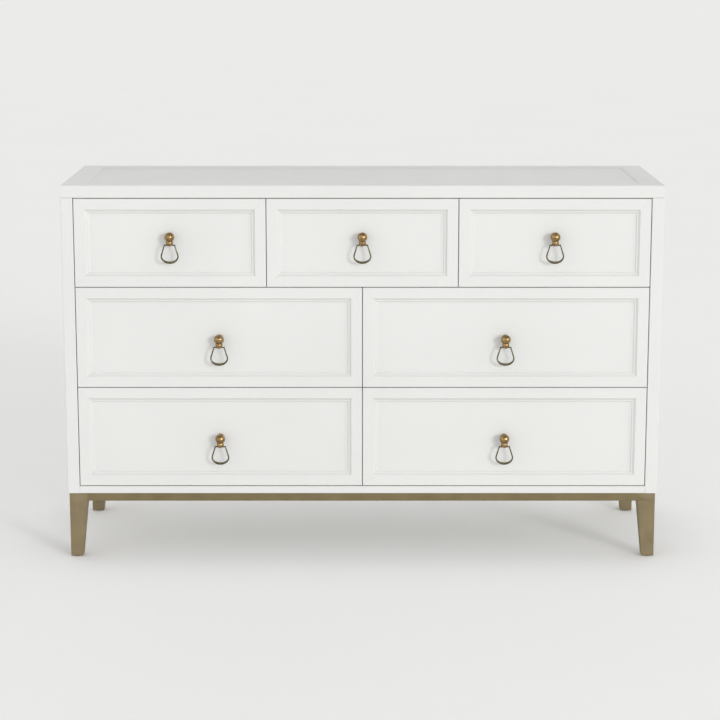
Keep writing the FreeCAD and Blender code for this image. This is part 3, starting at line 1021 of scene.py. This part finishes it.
@dataclass
class FramedBoard:
    """Mitred moulding round a flat panel, its show face towards -Y at the origin.

    The section's corners are (depth behind the face, distance in from the edge,
    rounding), in metres.
    """

    name: str
    section: list[tuple[float, ...]]
    panel_in: float
    panel_depth: tuple[float, float]
    arris: float = 0.25 * MM

    def member(self, name: str, length: float) -> Piece:
        """One length of moulding along X, mitred at both ends, its outer edge at Z 0.

        Args:
            name: The member's name.
            length: Its length at the outer edge.

        Returns:
            The member.
        """
        points = [Vector((-length / 2, depth, into)) for depth, into in rounded(self.section)]
        bar = draw_out(traced_face(name, points), (length, 0, 0))
        saw(bar, (-length / 2, 0, 0), (-1, 0, 1))
        saw(bar, (length / 2, 0, 0), (1, 0, 1))
        return smooth(ease(bar, self.arris))

    def build(self, length: float, height: float) -> list[Piece]:
        """Makes the four members and the panel.

        Args:
            length: Overall size along X.
            height: Overall size along Z.

        Returns:
            Bottom, left, top and right members, then the panel.
        """
        pieces = []
        for i, side in enumerate(("bottom", "left", "top", "right")):
            run, rise = (length, height) if i % 2 == 0 else (height, length)
            if i < 2:
                piece = place(self.member(f"{self.name}_{side}", run), (0, 0, -rise / 2))
                piece = place(piece, turn=(0, 90 * i, 0))
            else:
                piece = place(another(pieces[i - 2], f"{self.name}_{side}"), turn=(0, 180, 0))
            pieces.append(piece)
        half = Vector((length / 2 - self.panel_in, 0, height / 2 - self.panel_in))
        front, back = self.panel_depth
        panel = block(f"{self.name}_panel", (-half.x, front, -half.z), (half.x, back, half.z))
        pieces.append(smooth(ease(panel, 2 * self.arris)))
        return pieces


# ---------------------------------------------------------------- the case


@dataclass
class Case:
    """Top, sides, back and inner boards of the case."""

    border: float = 54.0 * MM
    ledge: float = 10.0 * MM
    bevel: float = 5.0 * MM
    bevel_drop: float = 3.0 * MM
    panel_t: float = 12.0 * MM
    play: float = 0.2 * MM
    edge: float = 2.0 * MM
    small_edge: float = 1.0 * MM
    eased: float = 0.5 * MM

    def bordered(self, name: str, thickness: float) -> FramedBoard:
        """Mitred border of the top or of a side, round its inset panel.

        Args:
            name: Start of its pieces' names.
            thickness: Thickness of the border.

        Returns:
            The board, ready to be built.
        """
        seat = self.bevel_drop + self.panel_t
        reach = self.border + self.ledge
        section = [(0, 0, self.edge), (thickness, 0, self.edge), (thickness, reach), (seat, reach),
                   (seat, self.border), (self.bevel_drop, self.border), (0, self.border - self.bevel)]
        return FramedBoard(name, section, self.border + self.play, (self.bevel_drop, seat))

    def top(self) -> None:
        """Slab with its mitred border and panel, face up."""
        low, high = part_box("top_border")
        board = self.bordered("slab", high.z - low.z)
        for piece in board.build(high.x - low.x, high.y - low.y):
            place(piece, ((low.x + high.x) / 2, (low.y + high.y) / 2, high.z), (-90, 0, 0))
            fit(piece, ROOT, LACQUER, "top_panel" if piece.name.endswith("panel") else "top_border")

    def sides(self) -> None:
        """Left and right sides, their framed faces outwards."""
        for name, sign in (("side_left", -1), ("side_right", 1)):
            low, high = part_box(name)
            board = self.bordered(name, high.x - low.x)
            outer = high.x if sign > 0 else low.x
            for piece in board.build(high.y - low.y, high.z - low.z):
                place(piece, turn=(0, 0, sign * 90))
                place(piece, (outer, (low.y + high.y) / 2, (low.z + high.z) / 2))
                fit(piece, ROOT, LACQUER, name)

    def bottom_rail(self) -> None:
        """Rail under the lowest drawers, flush with their fronts."""
        low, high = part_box("bottom_rail")
        section = rounded([(low.y, low.z, self.small_edge), (high.y, low.z), (high.y, high.z),
                           (low.y, high.z, self.edge)])
        points = [Vector((low.x, y, z)) for y, z in section]
        rail = draw_out(traced_face("bottom_rail_board", points), (high.x - low.x, 0, 0))
        fit(smooth(ease(rail, self.eased / 2)), ROOT, LACQUER, "bottom_rail")

    def inner_boards(self) -> None:
        """Rails, dividers, bottom and back, each board a piece of its own."""
        choices = (("cross_rails", "cross_rail", LACQUER), ("dividers", "divider", LACQUER),
                   ("bottom_board", "floor_board", LACQUER), ("back_panel", "back_board", HARDBOARD))
        for node, name, finish in choices:
            for i, board in enumerate(boards_of(node), 1):
                board.name = f"{name}_{i}"
                fit(smooth(ease(board, self.eased)), ROOT, finish, node)

    def build(self) -> None:
        """Makes every board of the case."""
        self.top()
        self.sides()
        self.bottom_rail()
        self.inner_boards()


# ------------------------------------------------------------- screws


@dataclass(frozen=True)
class Screw:
    """Pan-head screw with a cross recess, its head at the origin and its shank along +Z."""

    name: str
    head_r: float
    head_h: float
    shank_r: float
    length: float
    facets: int = 24

    def pattern(self) -> Piece:
        """One screw, to be copied to its places.

        Returns:
            The screw.
        """
        rim = 0.4 * self.head_h
        crown = arc((self.head_r - rim, rim - self.head_h), rim, -90, 0, 4)
        profile = [(0, -self.head_h), *crown, (self.head_r, 0), (self.shank_r, 0),
                   (self.shank_r, self.length - self.shank_r), (0, self.length)]
        screw = turned(self.name, profile, self.facets)
        arm = 0.6 * self.head_r
        blade = 0.13 * self.head_r
        deep = 0.6 * self.head_h
        for x, y in ((arm, blade), (blade, arm)):
            slot = block("cross_slot", (-x, -y, -2 * self.head_h), (x, y, deep - self.head_h))
            screw = combine(screw, slot, "DIFFERENCE")
        return smooth(screw)


TOP_SCREW = Screw("top_screw", 4.0 * MM, 2.5 * MM, 2.0 * MM, 34.0 * MM)
BACK_SCREW = Screw("back_screw", 4.0 * MM, 2.0 * MM, 1.75 * MM, 20.0 * MM)
BASE_BOLT = Screw("base_bolt", 5.5 * MM, 3.5 * MM, 3.0 * MM, 15.0 * MM)
PULL_SCREW = Screw("pull_screw", 4.5 * MM, 2.5 * MM, 2.0 * MM, 33.5 * MM)
SLIDE_SCREW = Screw("slide_screw", 3.2 * MM, 1.0 * MM, 1.6 * MM, 8.0 * MM, facets=16)


@dataclass
class CaseScrews:
    """Screws that hold the top and the back, and the bolts of the leg frame."""

    wide_head: float = 9.0 * MM

    def build(self) -> None:
        """Puts a screw wherever the CAD has one."""
        patterns = {screw: screw.pattern() for screw in (TOP_SCREW, BACK_SCREW, BASE_BOLT)}
        counts = dict.fromkeys(patterns, 0)
        for low, high in islands("case_screws"):
            centre = (low + high) / 2
            size = high - low
            kind = BACK_SCREW if size.y > size.z else BASE_BOLT if size.x > self.wide_head else TOP_SCREW
            counts[kind] += 1
            copy = another(patterns[kind], f"{kind.name}_{counts[kind]}")
            if kind is BACK_SCREW:
                place(copy, (centre.x, high.y - kind.head_h, centre.z), (90, 0, 0))
            else:
                place(copy, (centre.x, centre.y, low.z + kind.head_h))
            fit(copy, ROOT, SCREW_STEEL, "case_screws")
        discard(*patterns.values())


# ------------------------------------------------------------ leg frame


@dataclass
class LegFrame:
    """Brass legs, bars, gussets and glides."""

    leg_w: float = 42.4 * MM
    foot_w: float = 29.3 * MM
    edge: float = 0.8 * MM
    gusset_t: float = 3.0 * MM
    glide_r: float = 11.0 * MM
    glide_t: float = 2.0 * MM
    stud_r: float = 4.0 * MM

    def leg_pattern(self, foot_z: float, taper_z: float, top_z: float) -> Piece:
        """Leg at a corner whose outer faces are X 0 and Y 0, tapered on its inner faces.

        Args:
            foot_z: Height of its foot.
            taper_z: Height where the taper starts.
            top_z: Height of its top.

        Returns:
            The leg.
        """
        leg = block("leg", (0, 0, foot_z), (self.leg_w, self.leg_w, top_z))
        with editing(leg):
            bpy.ops.mesh.select_all(action="SELECT")
            bpy.ops.mesh.bisect(plane_co=(0, 0, taper_z), plane_no=(0, 0, 1))
            pick(leg, Element.FACE, lambda f: f.calc_center_median().z < foot_z + NEAR)
            ratio = self.foot_w / self.leg_w
            bpy.ops.transform.resize(value=(ratio, ratio, 1), center_override=(0, 0, foot_z))
            pick(leg, Element.EDGE, lambda e: self.is_soft_edge(e, foot_z, taper_z))
            bpy.ops.mesh.bevel(offset=self.edge, segments=3, affect="EDGES")
        return smooth(leg)

    def is_soft_edge(self, edge: bmesh.types.BMEdge, foot_z: float, taper_z: float) -> bool:
        """Says whether a leg's edge is rounded: its outer corner, its tapered corners and its foot.

        Args:
            edge: The edge.
            foot_z: Height of the leg's foot.
            taper_z: Height where the taper starts.

        Returns:
            True if the edge is rounded.
        """
        a, b = (vertex.co for vertex in edge.verts)
        if abs(a.z - b.z) < NEAR:
            return a.z < foot_z + NEAR
        return max(a.x, b.x, a.y, b.y) < NEAR or max(a.z, b.z) < taper_z + NEAR

    def bar(self, name: str, low: Vector, high: Vector) -> Piece:
        """Square bar with its four long edges rounded.

        Args:
            name: The bar's name.
            low: Its lowest corner.
            high: Its highest corner.

        Returns:
            The bar.
        """
        bar = block(name, low, high)
        run = 0 if high.x - low.x > high.y - low.y else 1
        with editing(bar):
            pick(bar, Element.EDGE, lambda e: abs(e.verts[0].co[run] - e.verts[1].co[run]) > self.leg_w)
            bpy.ops.mesh.bevel(offset=self.edge, segments=3, affect="EDGES")
        return smooth(bar)

    def glide(self, name: str, height: float) -> Piece:
        """Round nylon pad with its stud, this high in all.

        Args:
            name: The glide's name.
            height: Height of the pad and the stud together.

        Returns:
            The glide, its foot at the origin.
        """
        rim = 0.6 * self.glide_t
        profile = [(0, 0), *arc((self.glide_r - rim, rim), rim, -90, 0, 4), (self.glide_r, self.glide_t),
                   (self.stud_r, self.glide_t), (self.stud_r, height), (0, height)]
        return smooth(turned(name, profile, 32))

    def build(self) -> None:
        """Makes the whole frame under the case."""
        bars_low, bars_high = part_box("base_bars_long")
        pattern = None
        for depth in ("front", "back"):
            for side in ("left", "right"):
                node = f"leg_{depth}_{side}"
                low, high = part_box(node)
                if pattern is None:
                    pattern = self.leg_pattern(low.z, bars_low.z, high.z)
                axes = [0] * (side == "right") + [1] * (depth == "back")
                corner = (high.x if side == "right" else low.x, high.y if depth == "back" else low.y, 0)
                leg = mirrored(another(pattern, f"{node}_tube"), axes)
                fit(place(leg, corner), ROOT, tube_brass_shaded_if_level(Along.Z), node)
                for solid in boards_of(node):
                    solid_low, solid_high = span(solid)
                    if solid_high.z - solid_low.z > 2 * self.gusset_t:
                        discard(solid)
                        continue
                    solid.name = f"gusset_{depth}_{side}"
                    fit(smooth(ease(solid, self.edge / 2)), ROOT, tube_brass_shaded_if_level(Along.X), node)
        discard(pattern)
        for node, run in (("base_bars_long", Along.X), ("base_bars_short", Along.Y)):
            for i, (low, high) in enumerate(islands(node), 1):
                fit(self.bar(f"{node}_{i}", low, high), ROOT, tube_brass_shaded_if_level(run), node)
        for i, (low, high) in enumerate(islands("floor_glides"), 1):
            glide = self.glide(f"floor_glide_{i}", high.z - low.z)
            centre = (low + high) / 2
            fit(place(glide, (centre.x, centre.y, low.z)), ROOT, NYLON, "floor_glides")


# -------------------------------------------------------------- pulls


@dataclass
class RingPull:
    """Ball and bead on a neck and plate, with a teardrop ring hung on a pin."""

    ball_r: float = 11.7 * MM
    ball_out: float = 21.0 * MM
    bead_r: float = 8.5 * MM
    bead_down: float = 13.4 * MM
    pin_down: float = 5.4 * MM
    plate_r: float = 9.0 * MM
    plate_t: float = 3.0 * MM
    plate_edge: float = 0.8 * MM
    neck_cove: float = 1.2 * MM
    neck_r: float = 4.5 * MM
    bore_r: float = 2.1 * MM
    bore_deep: float = 11.0 * MM
    pin_r: float = 1.6 * MM
    pin_play: float = 0.05 * MM
    shoulder: float = 13.0 * MM
    half_w: float = 21.4 * MM
    bowl_h: float = 18.0 * MM
    length: float = 44.5 * MM
    side_t: float = 3.3 * MM
    shoulder_t: float = 2.8 * MM
    bottom_t: float = 5.8 * MM
    deep: float = 3.6 * MM
    soft: float = 1.2 * MM
    pin_head_r: float = 2.1 * MM
    pin_head_rise: float = 0.8 * MM

    def post_pattern(self) -> Piece:
        """Plate, neck and ball turned in one, with the bead under them; the ball is at the origin.

        Returns:
            The post.
        """
        leave = math.degrees(math.asin(self.neck_r / self.ball_r))
        ball = arc((0, 0), self.ball_r, 90 - leave, -90, 30)
        edge, cove = self.plate_edge, self.neck_cove
        base = self.ball_out
        face = base - self.plate_t
        profile = [(0, base - self.bore_deep), (self.bore_r, base - self.bore_deep), (self.bore_r, base),
                   (self.plate_r, base), *arc((self.plate_r - edge, face + edge), edge, 0, -90, 4),
                   *arc((self.neck_r + cove, face - cove), cove, 90, 180, 4), *ball]
        post = place(turned("pull_post", profile, 56), turn=(-90, 0, 0))
        bpy.ops.mesh.primitive_uv_sphere_add(segments=48, ring_count=32, radius=self.bead_r,
                                             location=(0, 0, -self.bead_down))
        post = combine(post, bpy.context.object, "UNION")
        bpy.ops.mesh.primitive_cylinder_add(vertices=32, radius=self.pin_r + self.pin_play,
                                            depth=4 * self.bead_r, rotation=(0, math.pi / 2, 0),
                                            location=(0, 0, -self.bead_down - self.pin_down))
        return smooth(combine(post, bpy.context.object, "DIFFERENCE"))

    def teardrop(self, shoulder: float, half_w: float, half_h: float, steps: int = 40) -> list[Vector]:
        """Straight shoulders running tangent into a bowl, from right to left; the pin is at the origin.

        Args:
            shoulder: Half the width at the pin.
            half_w: Half the width of the bowl.
            half_h: Half the height of the bowl.
            steps: Number of chords in the bowl.

        Returns:
            The points in order.
        """
        bowl_z = self.bowl_h - self.length
        across = shoulder / half_w
        up = (self.pin_r - bowl_z) / half_h
        touch = math.atan2(up, across) - math.acos(1 / math.hypot(across, up))
        turns = [touch - (math.pi + 2 * touch) * i / steps for i in range(steps + 1)]
        bowl = [Vector((half_w * math.cos(a), 0, bowl_z + half_h * math.sin(a))) for a in turns]
        ends = [Vector((shoulder, 0, self.pin_r)), Vector((-shoulder, 0, self.pin_r))]
        middle = [(ends[0] + bowl[0]) / 2, (ends[1] + bowl[-1]) / 2]
        return [ends[0], middle[0], *bowl, middle[1], ends[1]]

    def ring_pattern(self) -> Piece:
        """Ring drawn as two lines bridged into a strip, drawn out and rounded, on its pin.

        Returns:
            The ring with its pin, the pin at the origin.
        """
        outer = chain("pull_ring", self.teardrop(self.shoulder, self.half_w, self.bowl_h))
        inner = chain("pull_ring_inside", self.teardrop(self.shoulder - self.shoulder_t,
                                                        self.half_w - self.side_t,
                                                        self.bowl_h - self.bottom_t))
        take(outer, inner)
        bpy.ops.object.join()
        ring = bpy.context.object
        with editing(ring):
            pick(ring, Element.EDGE, lambda e: True)
            bpy.ops.mesh.bridge_edge_loops()
        place(draw_out(ring, (0, self.deep, 0)), (0, -self.deep / 2, 0))
        with editing(ring):
            pick(ring, Element.EDGE, lambda e: abs(e.verts[0].co.y - e.verts[1].co.y) < NEAR
                 and e.calc_face_angle(0) > 1)
            bpy.ops.mesh.bevel(offset=self.soft, segments=4, affect="EDGES")
        face_out(ring)
        rise, head = self.pin_head_rise, self.pin_head_r
        cap_r = (head ** 2 + rise ** 2) / (2 * rise)
        tip = self.shoulder + rise
        sweep = math.degrees(math.asin(head / cap_r))
        profile = [*arc((0, cap_r - tip), cap_r, -90, sweep - 90, 4), (head, rise / 2 - self.shoulder),
                   (self.pin_r, rise / 2 - self.shoulder)]
        profile += [(radius, -height) for radius, height in reversed(profile)]
        pin = place(turned("pull_pin", profile, 32), turn=(0, 90, 0))
        return smooth(combine(ring, pin, "UNION"))


# ------------------------------------------------------------- drawers


@dataclass
class DrawerKit:
    """Patterns and sizes shared by the seven drawers."""

    front_t: float = 20.0 * MM
    face: float = 25.5 * MM
    bevel: float = 5.0 * MM
    bevel_drop: float = 5.0 * MM
    quirk: float = 2.5 * MM
    cove: float = 6.5 * MM
    cove_drop: float = 3.0 * MM
    cove_foot: float = 1.5 * MM
    cove_r: float = 5.0 * MM
    lip: float = 0.5 * MM
    tongue: float = 8.5 * MM
    panel_t: float = 8.0 * MM
    edge: float = 2.0 * MM
    play: float = 0.2 * MM
    eased: float = 0.3 * MM
    slide_gap: float = 13.0 * MM
    slide_t: float = 1.2 * MM
    slide_screws_at: tuple[float, ...] = (0.08, 0.5, 0.92)
    pull: RingPull = field(default_factory=RingPull)
    fronts: dict[tuple[int, int], list[Piece]] = field(default_factory=dict)

    def moulded(self) -> FramedBoard:
        """Drawer front: flat frame, bevel, quirk and cove down to a sunk panel.

        Returns:
            The front, ready to be built.
        """
        reach = self.face + self.bevel + self.quirk + self.cove
        start = reach - self.cove
        floor = self.bevel_drop + self.cove_drop
        sink = floor + self.lip
        tongue = reach - self.tongue
        section = [(0, 0, self.edge), (self.front_t, 0), (self.front_t, tongue), (sink, tongue),
                   (sink, reach), (floor, reach), (floor, start + self.cove_foot, self.cove_r),
                   (self.bevel_drop, start), (self.bevel_drop, self.face + self.bevel), (0, self.face)]
        return FramedBoard("front", section, tongue + self.play, (sink, sink + self.panel_t))

    def prepare(self) -> None:
        """Makes one pull and one slide screw to copy from."""
        self.post = self.pull.post_pattern()
        self.ring = self.pull.ring_pattern()
        self.pull_screw = PULL_SCREW.pattern()
        self.slide_screw = SLIDE_SCREW.pattern()

    def front_of(self, width: float, height: float) -> list[Piece]:
        """Pieces of a front of this size, made once for all drawers that share it.

        Args:
            width: Size along X.
            height: Size along Z.

        Returns:
            Bottom, left, top and right members, then the panel.
        """
        key = (round(width / MM), round(height / MM))
        if key not in self.fronts:
            self.fronts[key] = self.moulded().build(width, height)
        return self.fronts[key]

    def clear(self) -> None:
        """Removes the patterns."""
        for pieces in self.fronts.values():
            discard(*pieces)
        discard(self.post, self.ring, self.pull_screw, self.slide_screw)


@dataclass
class Drawer:
    """One drawer with its front, box, slides and pull."""

    name: str
    kit: DrawerKit

    @property
    def body(self) -> str:
        """The body that the drawer moves with."""
        return f"drawer_{self.name}"

    def front(self) -> None:
        """Moulded frame and panel."""
        node = f"drawer_{self.name}_front"
        low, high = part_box(node)
        centre = (low + high) / 2
        for pattern in self.kit.front_of(high.x - low.x, high.z - low.z):
            side = pattern.name.rsplit("_", 1)[1]
            piece = place(another(pattern, f"{node}_{side}"), (centre.x, low.y, centre.z))
            fit(piece, self.body, LACQUER, node)

    def box(self) -> None:
        """Dovetailed boards and the bottom, each with its grain along the board."""
        node = f"drawer_{self.name}_box"
        low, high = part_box(node)
        counts = {"end": 0, "side": 0, "bottom": 0}
        for board in boards_of(node):
            size = span(board)[1] - span(board)[0]
            kind = "bottom" if size.z < min(size.x, size.y) else "side" if size.y > size.x else "end"
            counts[kind] += 1
            board.name = f"{node}_{kind}_{counts[kind]}"
            run = Along.Y if kind == "side" else Along.X
            fit(smooth(ease(board, self.kit.eased)), self.body, box_birch(run), node)

    def slides(self) -> None:
        """Channels of both slides and the screws that hold them."""
        runners = f"drawer_{self.name}_runners"
        middles = f"slides_{self.name}_middle"
        channels = ((runners, "runner", self.body), (middles, "middle_channel", f"slides_{self.name}"))
        for node, name, body in channels:
            for side, channel in zip(("left", "right"), boards_of(node)):
                channel.name = f"{name}_{self.name}_{side}"
                fit(smooth(ease(channel, self.kit.eased)), body, SLIDE_STEEL, node)
        box_low, box_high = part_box(f"drawer_{self.name}_box")
        low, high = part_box(runners)
        z = (low.z + high.z) / 2
        gap = self.kit.slide_gap
        for i, share in enumerate(self.kit.slide_screws_at, 1):
            y = low.y + (high.y - low.y) * share
            for side, box_x, out in (("left", box_low.x, -1), ("right", box_high.x, 1)):
                inner = another(self.kit.slide_screw, f"runner_screw_{self.name}_{side}_{i}")
                place(inner, (box_x + out * self.kit.slide_t, y, z), (0, -90 * out, 0))
                fit(inner, self.body, SCREW_STEEL)
                outer = another(self.kit.slide_screw, f"channel_screw_{self.name}_{side}_{i}")
                place(outer, (box_x + out * (gap - self.kit.slide_t), y, z), (0, 90 * out, 0))
                fit(outer, ROOT, SCREW_STEEL)

    def handle(self) -> None:
        """Pull, its screw from inside, and its ring."""
        post_node = f"pull_{self.name}_post"
        ring_node = f"pull_{self.name}_ring"
        pull = self.kit.pull
        low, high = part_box(post_node)
        ball = Vector(((low.x + high.x) / 2, low.y + pull.ball_r, high.z - pull.ball_r))
        post = place(another(self.kit.post, f"pull_{self.name}_ball"), ball)
        fit(post, self.body, PULL_BRASS, post_node)
        screw = another(self.kit.pull_screw, f"pull_{self.name}_screw")
        place(screw, (ball.x, high.y - PULL_SCREW.head_h, ball.z), (90, 0, 0))
        fit(screw, self.body, SCREW_STEEL, post_node)
        pin = ball - Vector((0, 0, pull.bead_down + pull.pin_down))
        ring = place(another(self.kit.ring, f"pull_{self.name}_teardrop"), pin)
        fit(ring, f"ring_{self.name}", RING_BRASS_PAINTED_SHADE, ring_node)

    def build(self) -> None:
        """Makes the whole drawer."""
        self.front()
        self.box()
        self.slides()
        self.handle()


def case_channels(kit: DrawerKit) -> None:
    """Outer channels of the slides, fixed to the case.

    Args:
        kit: The sizes shared with the drawers.
    """
    for i, channel in enumerate(boards_of("slides_case_channels"), 1):
        channel.name = f"case_channel_{i}"
        fit(smooth(ease(channel, kit.eased)), ROOT, SLIDE_STEEL, "slides_case_channels")


# --------------------------------------------------------------- studio


@dataclass
class Studio:
    """Pale floor, soft light and the camera."""

    lens_mm: float = 105.3
    camera_at: tuple[float, float, float] = (-0.0056, -5.149, 1.454)
    pitch: float = 78.91
    floor_half: float = 150.0
    sky: tuple[float, float] = (1.8, 0.33)
    sun_strength: float = 0.9
    sun_width: float = 14.0
    sun_from: tuple[float, float] = (35.0, 12.0)
    key_away: float = 7.0
    key_size: float = 2.0
    key_power: float = 45.0
    aim_z: float = 0.45

    def camera(self) -> None:
        """Camera a little above the dresser, looking slightly down on it."""
        data = bpy.data.cameras.new("camera")
        data.lens = self.lens_mm
        data.clip_end = 2 * self.floor_half
        camera = bpy.data.objects.new("camera", data)
        camera.location = self.camera_at
        camera.rotation_euler = (math.radians(self.pitch), 0, 0)
        bpy.context.scene.collection.objects.link(camera)
        bpy.context.scene.camera = camera

    def lights(self) -> None:
        """Even light from all round, and a broad key from the front right."""
        world = bpy.data.worlds.new("studio")
        world.use_nodes = True
        tree = world.node_tree
        height = add_node(tree, "SeparateXYZ", Vector=add_node(tree, "TexCoord").outputs["Generated"])
        low, high = self.sky
        level = add_node(tree, "MapRange", Value=height.outputs["Z"], From_Min=0.0, From_Max=1.0,
                         To_Min=low, To_Max=high)
        tree.links.new(level.outputs["Result"], tree.nodes["Background"].inputs["Strength"])
        tree.nodes["Background"].inputs["Color"].default_value = (1.0, 1.0, 1.0, 1.0)
        bpy.context.scene.world = world
        aside, up = (math.radians(angle) for angle in self.sun_from)
        towards = Vector((math.sin(aside) * math.cos(up), -math.cos(aside) * math.cos(up), math.sin(up)))
        sun = bpy.data.lights.new("sun", "SUN")
        sun.energy = self.sun_strength
        sun.angle = math.radians(self.sun_width)
        key = bpy.data.lights.new("key", "AREA")
        key.shape = "DISK"
        key.size = self.key_size
        key.energy = self.key_power
        for data, away in ((sun, 1.0), (key, self.key_away)):
            light = bpy.data.objects.new(data.name, data)
            light.location = towards * away + Vector((0, 0, self.aim_z))
            light.rotation_euler = towards.to_track_quat("Z", "Y").to_euler()
            light.visible_camera = False
            bpy.context.scene.collection.objects.link(light)

    def floor(self) -> None:
        """One plain pale floor to the horizon."""
        bpy.ops.mesh.primitive_plane_add(size=2 * self.floor_half)
        floor = name_it("studio_floor")
        floor.data.materials.append(PaintedFloor().material())

    def build(self) -> None:
        """Sets up everything round the dresser."""
        bpy.context.scene.view_settings.view_transform = "Standard"
        self.camera()
        self.lights()
        self.floor()


def main() -> None:
    """Builds the dresser in its studio."""
    logging.basicConfig(level=logging.INFO, format="%(message)s")
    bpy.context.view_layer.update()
    Studio().build()
    Case().build()
    CaseScrews().build()
    LegFrame().build()
    kit = DrawerKit()
    kit.prepare()
    for name in DRAWERS:
        Drawer(name, kit).build()
    kit.clear()
    case_channels(kit)


if __name__ == "__main__":
    main()
